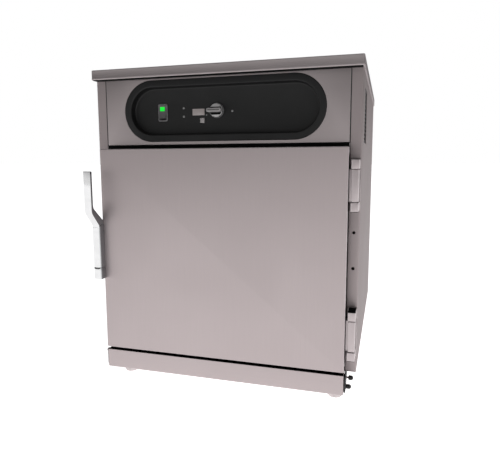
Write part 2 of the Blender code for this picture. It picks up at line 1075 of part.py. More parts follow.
leverPivot = pivot(
    "latch_lever_axis", (latchLeft + latchRight) / 2, latchPivotY, latchPivotHeight, doorPivot
)
strap = 0.005
lever = outline(
    "latch_lever",
    "chrome",
    "side",
    [
        (latchFront, latchTop + 0.006),
        (latchFront, latchTop + 0.010),
        (leverFront, latchTop + 0.048),
        (leverFront, leverTop - 0.003),
        (leverFront + 0.001, leverTop),
        (leverFront + strap - 0.001, leverTop),
        (leverFront + strap, leverTop - 0.003),
        (leverFront + strap, latchTop + 0.0497),
        (latchFront + strap, latchTop + 0.0117),
        (latchFront + strap, latchTop + 0.006),
    ],
    (latchLeft + 0.0005, latchRight - 0.0010),
)
lugRadius = 0.008
lugPoints = []
for step in range(15):
    angle = math.radians(60 - 235 * step / 14)
    lugPoints.append(
        (latchPivotY + lugRadius * math.cos(angle), latchPivotHeight + lugRadius * math.sin(angle))
    )
lugPoints += [
    (latchFront + 0.0005, latchTop + 0.004),
    (latchFront + 0.0005, latchTop + 0.0105),
    (latchFront + strap - 0.0005, latchTop + 0.0105),
]
join(lever, outline("lever lug", None, "side", lugPoints, (-0.3295, -0.3185)))
cut(
    lever,
    cylinder(
        "lever bore",
        None,
        0.0033,
        (-0.332, latchPivotY, latchPivotHeight),
        (-0.316, latchPivotY, latchPivotHeight),
        16,
    ),
)
carry(leverPivot, lever)

magnetGuide = pivot("latch_magnet_guide", -0.326, -0.011, 0.3575, doorPivot)
magnet = block("latch_magnet", "black", (-0.3315, -0.3205), (-0.0180, -0.0045), (0.3310, 0.3840))
carry(magnetGuide, magnet)

# Drip trough.

troughGuide = pivot("trough_guide", 0, -0.020, troughBottom)
trough = block(
    "drip_trough",
    "steel",
    (-troughHalf, troughHalf),
    (doorFront, -0.0020),
    (troughBottom, troughTop),
)
screwSlots = []
for side in (-1, 1):
    for screwHeight, headX in troughScrews.values():
        screwSlots.append(
            (
                (side * (troughHalf - 0.003), side * (troughHalf + 0.002)),
                (troughScrewY - 0.004, 0.001),
                (screwHeight - 0.0033, screwHeight + 0.0033),
            )
        )
cut(
    trough,
    block(
        "trough hollow",
        None,
        (-troughHalf + thinSheet, troughHalf - thinSheet),
        (doorFront + thinSheet, -0.0032),
        (troughBottom + thinSheet, troughTop + 0.003),
    ),
    block("trough low back", None, (-0.310, 0.310), (-0.0050, 0.001), (0.0780, troughTop + 0.003)),
    blockSet("trough screw slots", screwSlots),
)
carry(troughGuide, trough)

for sideName, side in (("left", -1), ("right", 1)):
    bracket = block(
        f"trough_bracket_{sideName}",
        "black",
        (side * 0.3175, side * 0.3205),
        (-0.0340, 0.0300),
        (0.0420, baseHeight - 0.0004),
    )
    join(
        bracket,
        block(
            f"bracket flange {sideName}",
            None,
            (side * 0.3110, side * 0.3190),
            (0.0040, 0.0300),
            (baseHeight - 0.0030, baseHeight - 0.0004),
        ),
    )
    for screwName, (screwHeight, headX) in troughScrews.items():
        cut(
            bracket,
            cylinder(
                f"bracket hole {sideName} {screwName}",
                None,
                0.0029,
                (side * 0.315, troughScrewY, screwHeight),
                (side * 0.323, troughScrewY, screwHeight),
                14,
            ),
        )
        knobAxis = pivot(
            f"trough_knob_axis_{sideName}_{screwName}", side * headX, troughScrewY, screwHeight
        )
        thumbScrew = turned(
            f"trough_knob_{sideName}_{screwName}",
            "black",
            [
                (0, 0.0115),
                (0.0030, 0.0112),
                (0.0050, 0.0090),
                (0.0056, 0.0060),
                (0.0056, 0.0010),
                (0.0046, 0),
                (0.0025, 0),
                (0.0025, 0.3140 - headX),
                (0, 0.3140 - headX),
            ],
            (side * headX, troughScrewY, screwHeight),
            (side, 0, 0),
            steps=16,
        )
        carry(knobAxis, thumbScrew)
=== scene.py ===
import json
import math

import bpy
import numpy as np
from mathutils import Matrix, Vector
from mathutils.geometry import tessellate_polygon


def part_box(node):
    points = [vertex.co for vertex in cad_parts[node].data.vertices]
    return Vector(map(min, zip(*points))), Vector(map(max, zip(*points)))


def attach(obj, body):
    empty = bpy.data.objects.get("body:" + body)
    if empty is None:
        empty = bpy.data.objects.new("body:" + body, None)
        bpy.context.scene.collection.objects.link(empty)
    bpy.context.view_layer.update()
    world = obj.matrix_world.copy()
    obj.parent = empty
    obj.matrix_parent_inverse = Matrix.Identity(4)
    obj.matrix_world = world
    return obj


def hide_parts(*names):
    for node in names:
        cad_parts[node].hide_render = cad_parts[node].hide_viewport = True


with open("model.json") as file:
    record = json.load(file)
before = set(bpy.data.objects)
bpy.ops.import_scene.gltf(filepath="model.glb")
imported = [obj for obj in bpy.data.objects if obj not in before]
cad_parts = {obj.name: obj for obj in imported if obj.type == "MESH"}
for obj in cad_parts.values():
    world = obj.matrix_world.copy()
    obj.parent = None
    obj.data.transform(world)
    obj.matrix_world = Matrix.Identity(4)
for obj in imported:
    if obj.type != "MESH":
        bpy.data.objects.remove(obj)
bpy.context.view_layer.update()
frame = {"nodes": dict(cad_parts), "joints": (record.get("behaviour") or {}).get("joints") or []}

frontY = -0.350                  # front face of the posts
tau = 2 * math.pi


def corners(node):
    # lowest and highest corner of a CAD node as arrays
    low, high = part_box(node)
    return np.array(low), np.array(high)


# a facing is (across, up, out): the two axes that an outline is drawn on and the way it looks
facings = {
    "front": ((1, 0, 0), (0, 0, 1), (0, -1, 0)),
    "back": ((-1, 0, 0), (0, 0, 1), (0, 1, 0)),
    "right": ((0, 1, 0), (0, 0, 1), (1, 0, 0)),
    "left": ((0, -1, 0), (0, 0, 1), (-1, 0, 0)),
    "top": ((1, 0, 0), (0, 1, 0), (0, 0, 1)),
    "bottom": ((1, 0, 0), (0, -1, 0), (0, 0, -1)),
}


# shapes: each function gives closed shells as (points, faces, wear)

def gridFaces(rows, columns, wrapRows, wrapColumns):
    # four-sided faces between the points of a rows by columns grid
    index = np.arange(rows * columns).reshape(rows, columns)
    if wrapRows:
        index = np.vstack([index, index[:1]])
    if wrapColumns:
        index = np.hstack([index, index[:, :1]])
    quads = np.stack([index[:-1, :-1], index[:-1, 1:], index[1:, 1:], index[1:, :-1]], axis=-1)
    return quads.reshape(-1, 4)


def facedOut(points, faces):
    # turns a closed shell's faces outwards: its signed volume, summed over fans, is made positive
    total = 0.0
    for face in faces:
        fan = points[np.asarray(face)]
        total += np.einsum("ij,ij->", np.cross(fan[1:-1], fan[2:]), np.broadcast_to(fan[0], fan[2:].shape))
    if total < 0:
        return [tuple(face[::-1]) for face in faces]
    return [tuple(face) for face in faces]


def capFaces(ring, first, turned):
    # closes a flat ring: one face where it never bends inwards, or else triangles that stay inside
    # it, each wound the ring's way round or, for the first ring of a shell, against it
    step = np.roll(ring, -1, axis=0) - ring
    turn = np.cross(step, np.roll(step, -1, axis=0))
    area = np.cross(ring - ring[0], np.roll(ring, -1, axis=0) - ring[0]).sum(axis=0)
    made = np.arange(len(ring))[None]
    if (turn @ area).min() < -1e-16:
        made = np.array(tessellate_polygon([[Vector(point) for point in (ring - ring[0]) * 1000]]))
        sides = ring[made[:, 1:]] - ring[made[:, :1]]
        if np.cross(sides[:, 0], sides[:, 1]).sum(axis=0) @ area < 0:
            made = made[:, ::-1]
    return (made[:, ::-1] if turned else made) + first


def shell(rings, wear, capped=True, loop=False):
    # rings[i, j]: ring i of a surface, point j round it; the ends are closed flat, or joined in a loop
    rows, columns, _ = rings.shape
    faces = gridFaces(rows, columns, loop, True).tolist()
    if capped and not loop:
        faces += capFaces(rings[0], 0, True).tolist()
        faces += capFaces(rings[-1], (rows - 1) * columns, False).tolist()
    points = rings.reshape(-1, 3)
    wear = np.broadcast_to(np.asarray(wear, float).reshape(rows, -1), (rows, columns)).reshape(-1)
    return points, facedOut(points, faces), wear


def roundedRect(width, height, radius, steps=6):
    # rectangle with quarter-circle corners: corner centre plus radius times (cos, sin), counterclockwise
    radius = min(radius, width / 2 - 1e-6, height / 2 - 1e-6)
    angle = np.linspace(0, math.pi / 2, steps + 1)
    turns = np.array([angle, angle + math.pi / 2, angle + math.pi, angle + 1.5 * math.pi])
    centreX = np.array([1, -1, -1, 1])[:, None] * (width / 2 - radius)
    centreY = np.array([1, 1, -1, -1])[:, None] * (height / 2 - radius)
    return np.stack([centreX + radius * np.cos(turns), centreY + radius * np.sin(turns)],
                    axis=-1).reshape(-1, 2)


def rectShell(low, high, facing, radius, profile, steps=6):
    # rounded rectangles stacked along the facing: ring i is inset by profile[i][0] and stands
    # profile[i][1] in front of the box's back, so the profile is carried round the rectangle
    across, up, out = (np.array(axis, float) for axis in facings[facing])
    centre = (np.asarray(low) + np.asarray(high)) / 2
    size = np.asarray(high) - np.asarray(low)
    width, height, depth = (abs(size @ axis) for axis in (across, up, out))
    rings, wear = [], []
    for row in profile:
        inset, stand = row[0], row[1]
        flat = roundedRect(width - 2 * inset, height - 2 * inset, max(radius - inset, 0.0002), steps)
        rings.append(centre + flat[:, :1] * across + flat[:, 1:] * up + (stand - depth / 2) * out)
        wear.append(row[2] if len(row) > 2 else 0.0)
    return shell(np.array(rings), wear)


def arc(fromAngle, toAngle, radius, centre, steps, wear=1.0):
    # profile rows on a circle: (inset, stand, wear) = centre + radius times (cos, sin)
    angle = np.radians(np.linspace(fromAngle, toAngle, steps))
    peak = wear * np.sin(np.linspace(0, math.pi, steps))
    return [(centre[0] + radius * math.cos(a), centre[1] + radius * math.sin(a), w) for a,
            w in zip(angle, peak)]


def slab(low, high, facing="front", radius=0.002, roll=0.001, back=None, steps=5):
    # solid block whose edges roll over by a quarter circle, front and back
    out = np.array(facings[facing][2], float)
    depth = abs((np.asarray(high) - np.asarray(low)) @ out)
    back = roll if back is None else back
    profile = arc(270, 180, back, (back, back), steps) + arc(180, 90, roll, (roll, depth - roll), steps)
    return rectShell(low, high, facing, radius, profile)


def pan(low, high, facing="front", radius=0.003, roll=0.002, wall=0.0012, steps=6):
    # folded sheet pan, open behind: inner floor, inner wall, rim, outer wall, rolled front edge
    out = np.array(facings[facing][2], float)
    depth = abs((np.asarray(high) - np.asarray(low)) @ out)
    inner = max(roll - wall, 0.0002)
    profile = arc(90, 180, inner, (wall + inner, depth - wall - inner), 3, 0)
    profile += [(wall, 0.0003, 0), (wall * 0.7, 0, 0.4), (wall * 0.3, 0, 0.4), (0, 0.0003, 0)]
    profile += arc(180, 90, roll, (roll, depth - roll), steps)
    return rectShell(low, high, facing, radius, profile)


def outlineNormals(outline):
    # mitred outward normal at each point of a closed counterclockwise outline
    before = outline - np.roll(outline, 1, axis=0)
    after = np.roll(outline, -1, axis=0) - outline
    before = before / np.linalg.norm(before, axis=1, keepdims=True)
    after = after / np.linalg.norm(after, axis=1, keepdims=True)
    turned = np.stack([before[:, 1] + after[:, 1], -before[:, 0] - after[:, 0]], axis=1)
    return 2 * turned / np.maximum((turned**2).sum(axis=1, keepdims=True), 0.35)


def counterclockwise(outline):
    outline = np.asarray(outline, float)
    x, y = outline.T
    area = (x * np.roll(y, -1) - np.roll(x, -1) * y).sum()
    return outline if area > 0 else outline[::-1]


def filleted(outline, radius, steps=5, closed=True):
    # each corner becomes a curve that leaves its sides radius before and after it:
    # (1-t)^2 start + 2t(1-t) corner + t^2 end
    outline = np.asarray(outline, float)
    before = np.roll(outline, 1, axis=0)
    after = np.roll(outline, -1, axis=0)
    radius = np.broadcast_to(radius, len(outline))[:, None]
    start = outline + (before - outline) / np.linalg.norm(before - outline, axis=1, keepdims=True) * radius
    end = outline + (after - outline) / np.linalg.norm(after - outline, axis=1, keepdims=True) * radius
    t = np.linspace(0, 1, steps)[None, :, None]
    made = (1 - t) ** 2 * start[:, None] + 2 * t * (1 - t) * outline[:, None] + t**2 * end[:, None]
    if closed:
        return made.reshape(-1, outline.shape[1])
    return np.vstack([outline[:1], made[1:-1].reshape(-1, outline.shape[1]), outline[-1:]])


def plate(outline, low, high, facing, roll=0.0006, origin=(0, 0, 0), steps=4):
    # outline drawn on the facing's plane and carried from low to high along it, edges rolled over:
    # point = outline - inset * normal, with (inset, stand) on a quarter circle at both ends
    across, up, out = (np.array(axis, float) for axis in facings[facing])
    outline = counterclockwise(outline)
    normal = outlineNormals(outline)
    rows = arc(270, 180, roll, (roll, low + roll), steps) + arc(180, 90, roll, (roll, high - roll), steps)
    inset = np.array([row[0] for row in rows])[:, None, None]
    stand = np.array([row[1] for row in rows])[:, None, None]
    flat = outline[None] - inset * normal[None]
    rings = np.asarray(origin) + flat[..., :1] * across + flat[..., 1:] * up + stand * out
    return shell(rings, [row[2] for row in rows])


def band(centre, width, height, radius, facing, section, wear=0.0, steps=8):
    # closed section of (outset, stand) points carried round a rounded rectangle: each section point
    # makes one rounded rectangle, grown by its outset and moved out by its stand
    across, up, out = (np.array(axis, float) for axis in facings[facing])
    rings = []
    for outset, stand in section:
        flat = roundedRect(width + 2 * outset, height + 2 * outset, max(radius + outset, 0.0002), steps)
        rings.append(np.asarray(centre) + flat[:, :1] * across + flat[:, 1:] * up + stand * out)
    wear = np.broadcast_to(wear, len(section))
    return shell(np.array(rings), wear, loop=True)


def withFlutes(profile):
    # profile rows of (radius, height) or (radius, height, flute), all made three long
    return [(*row, 0)[:3] for row in profile]


def lathe(profile, origin, axis, steps=32, flutes=0, depth=0.0, wear=None):
    # profile of (radius, height) turned about an axis; radius is cut by depth * |sin| flutes
    profile = np.asarray(profile, float)
    axis = np.asarray(axis, float) / np.linalg.norm(axis)
    side = np.cross(axis, (0.0, 0.0, 1.0) if abs(axis[2]) < 0.9 else (1.0, 0.0, 0.0))
    side /= np.linalg.norm(side)
    other = np.cross(axis, side)
    angle = np.linspace(0, tau, steps, endpoint=False)
    inner = profile[1:-1]
    radius = inner[:, :1] * np.ones(steps)[None]
    if flutes:
        deep = np.array([row[2] if len(row) > 2 else 0 for row in inner])[:, None]
        radius = radius - depth * deep * np.abs(np.sin(angle * flutes / 2))[None]
    rings = np.asarray(origin) + inner[:, 1, None, None] * axis
    rings = rings + radius[..., None] * (np.cos(angle)[None, :, None] * side + np.sin(angle)[None, :,
                                                                                             None] * other)
    rows = len(inner)
    points = np.vstack([rings.reshape(-1, 3), np.asarray(origin) + profile[[0, -1], 1][:, None] * axis])
    faces = gridFaces(rows, steps, False, True).tolist()
    ring = np.arange(steps)
    following = np.roll(ring, -1)
    first, last = rows * steps, rows * steps + 1
    faces += np.stack([following, ring, np.full(steps, first)], axis=1).tolist()
    base = (rows - 1) * steps
    faces += np.stack([base + ring, base + following, np.full(steps, last)], axis=1).tolist()
    amount = np.zeros(rows) if wear is None else np.asarray(wear, float)
    amount = np.concatenate([np.repeat(amount, steps), [0, 0]])
    return points, facedOut(points, faces), amount


def carried(path, section, normal, closed=False, wear=0.0):
    # section of (side, lift) points carried along a flat path: point = path + side * left + lift *
    # normal, where left is the path's own left, widened at bends by the mitre
    path = np.asarray(path, float)
    normal = np.asarray(normal, float)
    if closed:
        before, after = path - np.roll(path, 1, axis=0), np.roll(path, -1, axis=0) - path
    else:
        step = np.diff(path, axis=0)
        before, after = np.vstack([step[:1], step]), np.vstack([step, step[-1:]])
    before = before / np.linalg.norm(before, axis=1, keepdims=True)
    after = after / np.linalg.norm(after, axis=1, keepdims=True)
    side = np.cross(normal, before + after)
    side = 2 * side / np.maximum((side**2).sum(axis=1, keepdims=True), 0.4)
    section = np.asarray(section, float)
    rings = path[:, None] + section[None, :, :1] * side[:, None] + section[None, :, 1:] * normal
    return shell(rings, np.broadcast_to(wear, len(path)), capped=not closed, loop=closed)


def roundSection(radius, sides):
    # radius * (cos, sin), sides times round
    angle = np.linspace(0, tau, sides, endpoint=False)
    return np.stack([radius * np.cos(angle), radius * np.sin(angle)], axis=1)


def wire(points, radius, sides=8):
    # straight round wire: a circle of radius * (cos, sin) carried between two points
    points = np.asarray(points, float)
    run = points[1] - points[0]
    normal = np.cross(run, (0.0, 0.0, 1.0) if abs(run[2]) < 0.9 * np.linalg.norm(run) else (1.0, 0.0, 0.0))
    return carried(points, roundSection(radius, sides), normal / np.linalg.norm(normal))


# objects from shells

def joined(shells):
    # several shells as one set of points, faces and wear
    points, faces, wear, start = [], [], [], 0
    for shellPoints, shellFaces, shellWear in shells:
        points.append(shellPoints)
        wear.append(shellWear)
        faces += [tuple(int(corner) + start for corner in face) for face in shellFaces]
        start += len(shellPoints)
    return np.vstack(points), faces, np.concatenate(wear)


def addMesh(name, shells, smooth=38):
    points, faces, wear = joined(shells)
    mesh = bpy.data.meshes.new(name)
    mesh.from_pydata(points.tolist(), [], faces)
    layer = mesh.attributes.new("wear", "FLOAT", "POINT")
    layer.data.foreach_set("value", wear.astype(np.float32))
    mesh.shade_smooth()
    mesh.set_sharp_from_angle(angle=math.radians(smooth))
    made = bpy.data.objects.new(name, mesh)
    bpy.context.scene.collection.objects.link(made)
    return made


def carve(solid, holes):
    # takes closed shells out of one closed shell, and gives back what is left as a shell
    target = addMesh("carved", [solid])
    for taken in holes:
        cutter = addMesh("cutter", [taken])
        change = target.modifiers.new("carve", "BOOLEAN")
        change.operation = "DIFFERENCE"
        change.solver = "EXACT"
        change.object = cutter
        bpy.context.view_layer.update()
        evaluated = target.evaluated_get(bpy.context.evaluated_depsgraph_get())
        mesh = bpy.data.meshes.new_from_object(evaluated)
        target.modifiers.clear()
        old, cutterMesh = target.data, cutter.data
        target.data = mesh
        bpy.data.objects.remove(cutter)
        bpy.data.meshes.remove(cutterMesh)
        bpy.data.meshes.remove(old)
    mesh = target.data
    points = np.empty(len(mesh.vertices) * 3, np.float32)
    mesh.vertices.foreach_get("co", points)
    wear = np.empty(len(mesh.vertices), np.float32)
    mesh.attributes["wear"].data.foreach_get("value", wear)
    faces = [tuple(face.vertices) for face in mesh.polygons]
    bpy.data.objects.remove(target)
    bpy.data.meshes.remove(mesh)
    return points.reshape(-1, 3), faces, wear


def piece(name, shells, material, body, nodes=(), smooth=38, holes=()):
    if holes:
        shells = [carve(solid, holes) for solid in shells]
    made = addMesh(name, shells, smooth)
    made.data.materials.append(material)
    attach(made, body)
    if nodes:
        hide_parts(*nodes)
    return made


# shader groups shared by the finishes

def groupWith(name, inputs, outputs):
    group = bpy.data.node_groups.new(name, "ShaderNodeTree")
    for label, kind, value in inputs:
        socket = group.interface.new_socket(name=label, in_out="INPUT", socket_type=kind)
        if value is not None:
            socket.default_value = value
    for label, kind in outputs:
        group.interface.new_socket(name=label, in_out="OUTPUT", socket_type=kind)
    return group


class Graph:
    # short names for adding nodes and joining them
    def __init__(self, tree):
        self.tree = tree

    def add(self, kind, **settings):
        node = self.tree.nodes.new(kind)
        for key, value in settings.items():
            setattr(node, key, value)
        return node

    def join(self, source, target):
        self.tree.links.new(source, target)

    def math(self, operation, first, second=None, clamp=False):
        node = self.add("ShaderNodeMath", operation=operation, use_clamp=clamp)
        for socket, value in zip(node.inputs, (first, second)):
            if value is None:
                continue
            if isinstance(value, (int, float)):
                socket.default_value = value
            else:
                self.join(value, socket)
        return node.outputs[0]

    def noise(self, vector, scale, detail=3.0, roughness=0.55):
        node = self.add("ShaderNodeTexNoise")
        node.inputs["Scale"].default_value = scale
        node.inputs["Detail"].default_value = detail
        node.inputs["Roughness"].default_value = roughness
        self.join(vector, node.inputs["Vector"])
        return node.outputs["Fac"]

    def spread(self, value, fromLow, fromHigh, toLow, toHigh):
        node = self.add("ShaderNodeMapRange")
        self.join(value, node.inputs["Value"])
        for label, number in (
            ("From Min", fromLow), ("From Max", fromHigh), ("To Min", toLow), ("To Max", toHigh)
        ):
            if isinstance(number, (int, float)):
                node.inputs[label].default_value = number
            else:
                self.join(number, node.inputs[label])
        return node.outputs["Result"]

    def mix(self, amount, first, second, blend="MIX"):
        node = self.add("ShaderNodeMix", data_type="RGBA", blend_type=blend)
        for socket, value in ((node.inputs[0], amount), (node.inputs[6], first), (node.inputs[7], second)):
            if isinstance(value, (int, float)):
                socket.default_value = value
            elif isinstance(value, tuple):
                socket.default_value = (*value, 1.0)
            else:
                self.join(value, socket)
        return node.outputs[2]


def brushedGroup():
    # long thin streaks: noise on coordinates squeezed along the brushing direction
    group = groupWith(
        "brushed grain",
        [("Vector", "NodeSocketVector", None), ("Stretch", "NodeSocketVector", (6.0, 260.0, 260.0)),
         ("Strength", "NodeSocketFloat", 0.5)],
        [("Streaks", "NodeSocketFloat"), ("Height", "NodeSocketFloat")],
    )
    g = Graph(group)
    incoming = g.add("NodeGroupInput")
    outgoing = g.add("NodeGroupOutput")
    stretched = g.add("ShaderNodeVectorMath", operation="MULTIPLY")
    g.join(incoming.outputs["Vector"], stretched.inputs[0])
    g.join(incoming.outputs["Stretch"], stretched.inputs[1])
    fine = g.noise(stretched.outputs[0], 5.0, 2.0, 0.6)
    coarse = g.noise(stretched.outputs[0], 1.1, 3.0, 0.7)
    both = g.math("ADD", g.math("MULTIPLY", fine, 0.6), g.math("MULTIPLY", coarse, 0.4))
    centred = g.math("SUBTRACT", both, 0.5)
    scaled = g.math("MULTIPLY", centred, incoming.outputs["Strength"])
    g.join(g.math("ADD", scaled, 0.5), outgoing.inputs["Streaks"])
    g.join(g.math("MULTIPLY", fine, incoming.outputs["Strength"]), outgoing.inputs["Height"])
    return group


def wearGroup():
    # handled edges: the piece's own edge mask broken up by noise
    group = groupWith(
        "edge wear",
        [("Vector", "NodeSocketVector", None), ("Edge", "NodeSocketFloat", 0.0),
         ("Amount", "NodeSocketFloat", 0.6), ("Scale", "NodeSocketFloat", 90.0)],
        [("Mask", "NodeSocketFloat")],
    )
    g = Graph(group)
    incoming = g.add("NodeGroupInput")
    outgoing = g.add("NodeGroupOutput")
    noise = g.add("ShaderNodeTexNoise")
    noise.inputs["Detail"].default_value = 4.0
    g.join(incoming.outputs["Vector"], noise.inputs["Vector"])
    g.join(incoming.outputs["Scale"], noise.inputs["Scale"])
    broken = g.spread(noise.outputs["Fac"], 0.38, 0.62, 0.25, 1.0)
    mask = g.math("MULTIPLY", incoming.outputs["Edge"], broken)
    g.join(g.math("MULTIPLY", mask, incoming.outputs["Amount"], True), outgoing.inputs["Mask"])
    return group


def smudgeGroup():
    # wiped and handled areas: broad soft patches with a few finer ones
    group = groupWith(
        "smudges",
        [("Vector", "NodeSocketVector", None), ("Scale", "NodeSocketFloat", 6.0)],
        [("Broad", "NodeSocketFloat"), ("Fine", "NodeSocketFloat")],
    )
    g = Graph(group)
    incoming = g.add("NodeGroupInput")
    outgoing = g.add("NodeGroupOutput")
    broad = g.add("ShaderNodeTexNoise")
    broad.inputs["Detail"].default_value = 2.0
    broad.inputs["Distortion"].default_value = 0.6
    g.join(incoming.outputs["Vector"], broad.inputs["Vector"])
    g.join(incoming.outputs["Scale"], broad.inputs["Scale"])
    fine = g.add("ShaderNodeTexNoise")
    fine.inputs["Detail"].default_value = 5.0
    g.join(incoming.outputs["Vector"], fine.inputs["Vector"])
    g.join(g.math("MULTIPLY", incoming.outputs["Scale"], 9.0), fine.inputs["Scale"])
    g.join(g.spread(broad.outputs["Fac"], 0.35, 0.65, 0.0, 1.0), outgoing.inputs["Broad"])
    g.join(fine.outputs["Fac"], outgoing.inputs["Fine"])
    return group


def dustGroup():
    # settled dust: more on faces that look up, less where the noise is low
    group = groupWith(
        "dust",
        [("Vector", "NodeSocketVector", None), ("Amount", "NodeSocketFloat", 0.2)],
        [("Mask", "NodeSocketFloat")],
    )
    g = Graph(group)
    incoming = g.add("NodeGroupInput")
    outgoing = g.add("NodeGroupOutput")
    geometry = g.add("ShaderNodeNewGeometry")
    parts = g.add("ShaderNodeSeparateXYZ")
    g.join(geometry.outputs["Normal"], parts.inputs[0])
    upward = g.spread(parts.outputs["Z"], 0.3, 1.0, 0.0, 1.0)
    noise = g.noise(incoming.outputs["Vector"], 14.0, 5.0, 0.65)
    patch = g.spread(noise, 0.3, 0.75, 0.2, 1.0)
    mask = g.math("MULTIPLY", g.math("MULTIPLY", upward, patch), incoming.outputs["Amount"], True)
    g.join(mask, outgoing.inputs["Mask"])
    return group


def specksGroup():
    # fine moulded texture: small cells and noise as a height
    group = groupWith(
        "moulded texture",
        [("Vector", "NodeSocketVector", None), ("Scale", "NodeSocketFloat", 900.0)],
        [("Height", "NodeSocketFloat"), ("Tone", "NodeSocketFloat")],
    )
    g = Graph(group)
    incoming = g.add("NodeGroupInput")
    outgoing = g.add("NodeGroupOutput")
    cells = g.add("ShaderNodeTexVoronoi")
    g.join(incoming.outputs["Vector"], cells.inputs["Vector"])
    g.join(incoming.outputs["Scale"], cells.inputs["Scale"])
    noise = g.add("ShaderNodeTexNoise")
    noise.inputs["Detail"].default_value = 4.0
    g.join(incoming.outputs["Vector"], noise.inputs["Vector"])
    g.join(g.math("MULTIPLY", incoming.outputs["Scale"], 0.4), noise.inputs["Scale"])
    g.join(g.math("ADD", cells.outputs["Distance"], noise.outputs["Fac"]), outgoing.inputs["Height"])
    g.join(noise.outputs["Fac"], outgoing.inputs["Tone"])
    return group


groups = {
    "brushed": brushedGroup(),
    "wear": wearGroup(),
    "smudges": smudgeGroup(),
    "dust": dustGroup(),
    "specks": specksGroup(),
}


def startMaterial(name, metallic, coat=0.0):
    material = bpy.data.materials.new(name)
    material.use_nodes = True
    graph = Graph(material.node_tree)
    shader = material.node_tree.nodes["Principled BSDF"]
    shader.inputs["Metallic"].default_value = metallic
    shader.inputs["Coat Weight"].default_value = coat
    place = graph.add("ShaderNodeTexCoord").outputs["Object"]
    return material, graph, shader, place


def placed(graph, label, place, **values):
    node = graph.add("ShaderNodeGroup", node_tree=groups[label])
    graph.join(place, node.inputs["Vector"])
    for key, value in values.items():
        node.inputs[key].default_value = value
    return node


def edgeMask(graph, place, amount, scale=90.0):
    edge = graph.add("ShaderNodeAttribute", attribute_name="wear")
    node = placed(graph, "wear", place, Amount=amount, Scale=scale)
    graph.join(edge.outputs["Fac"], node.inputs["Edge"])
    return node.outputs["Mask"]


def bumped(graph, shader, height, strength, distance):
    bump = graph.add("ShaderNodeBump")
    bump.inputs["Strength"].default_value = strength
    bump.inputs["Distance"].default_value = distance
    graph.join(height, bump.inputs["Height"])
    graph.join(bump.outputs["Normal"], shader.inputs["Normal"])


def brushedMetal(name, colour, roughness, metallic=0.85, stretch=(6.0, 260.0, 260.0), streak=0.5,
                 edge=0.5, bright=(0.80, 0.77, 0.77), dust=0.15, smudge=0.05, grazing=1.0):
    # sheet metal: streaks tint the colour and roughness, edges are polished, dust lies on top
    material, g, shader, place = startMaterial(name, metallic)
    shader.inputs["Specular Tint"].default_value = (grazing, grazing, grazing, 1.0)
    grain = placed(g, "brushed", place, Stretch=stretch, Strength=streak)
    patches = placed(g, "smudges", place, Scale=5.0)
    dark = tuple(part * 0.86 for part in colour)
    light = tuple(min(part * 1.12, 1.0) for part in colour)
    tinted = g.mix(grain.outputs["Streaks"], dark, light)
    wiped = g.mix(g.math("MULTIPLY", patches.outputs["Broad"], 0.10), tinted, light)
    rubbed = g.mix(edgeMask(g, place, edge), wiped, bright)
    dusted = placed(g, "dust", place, Amount=dust)
    g.join(g.mix(dusted.outputs["Mask"], rubbed, (0.42, 0.40, 0.38)), shader.inputs["Base Color"])
    rough = g.spread(grain.outputs["Streaks"], 0.2, 0.8, roughness - 0.05, roughness + 0.05)
    rough = g.math("ADD", rough, g.math("MULTIPLY", patches.outputs["Broad"], smudge))
    rough = g.math("ADD", rough, g.math("MULTIPLY", dusted.outputs["Mask"], 0.4), True)
    g.join(rough, shader.inputs["Roughness"])
    bumped(g, shader, grain.outputs["Height"], 0.08, 0.0002)
    return material


def mouldedPlastic(name, colour, roughness, scale=900.0, bump=0.12, edge=0.35, dust=0.1, shine=0.5):
    # moulded or painted finish: fine texture, slightly polished edges, a little dust on top
    material, g, shader, place = startMaterial(name, 0.0)
    shader.inputs["Specular IOR Level"].default_value = shine
    texture = placed(g, "specks", place, Scale=scale)
    patches = placed(g, "smudges", place, Scale=11.0)
    light = tuple(min(part * 1.6 + 0.003, 1.0) for part in colour)
    toned = g.mix(g.math("MULTIPLY", texture.outputs["Tone"], 0.30), colour, light)
    rubbed = g.mix(edgeMask(g, place, edge, 160.0), toned,
                   tuple(min(part * 2.2 + 0.02, 1.0) for part in colour))
    dusted = placed(g, "dust", place, Amount=dust)
    g.join(g.mix(dusted.outputs["Mask"], rubbed, (0.30, 0.29, 0.27)), shader.inputs["Base Color"])
    rough = g.spread(patches.outputs["Broad"], 0.0, 1.0, roughness - 0.05, roughness + 0.06)
    rough = g.math("ADD", rough, g.math("MULTIPLY", dusted.outputs["Mask"], 0.3), True)
    g.join(rough, shader.inputs["Roughness"])
    bumped(g, shader, texture.outputs["Height"], bump, 0.0002)
    return material


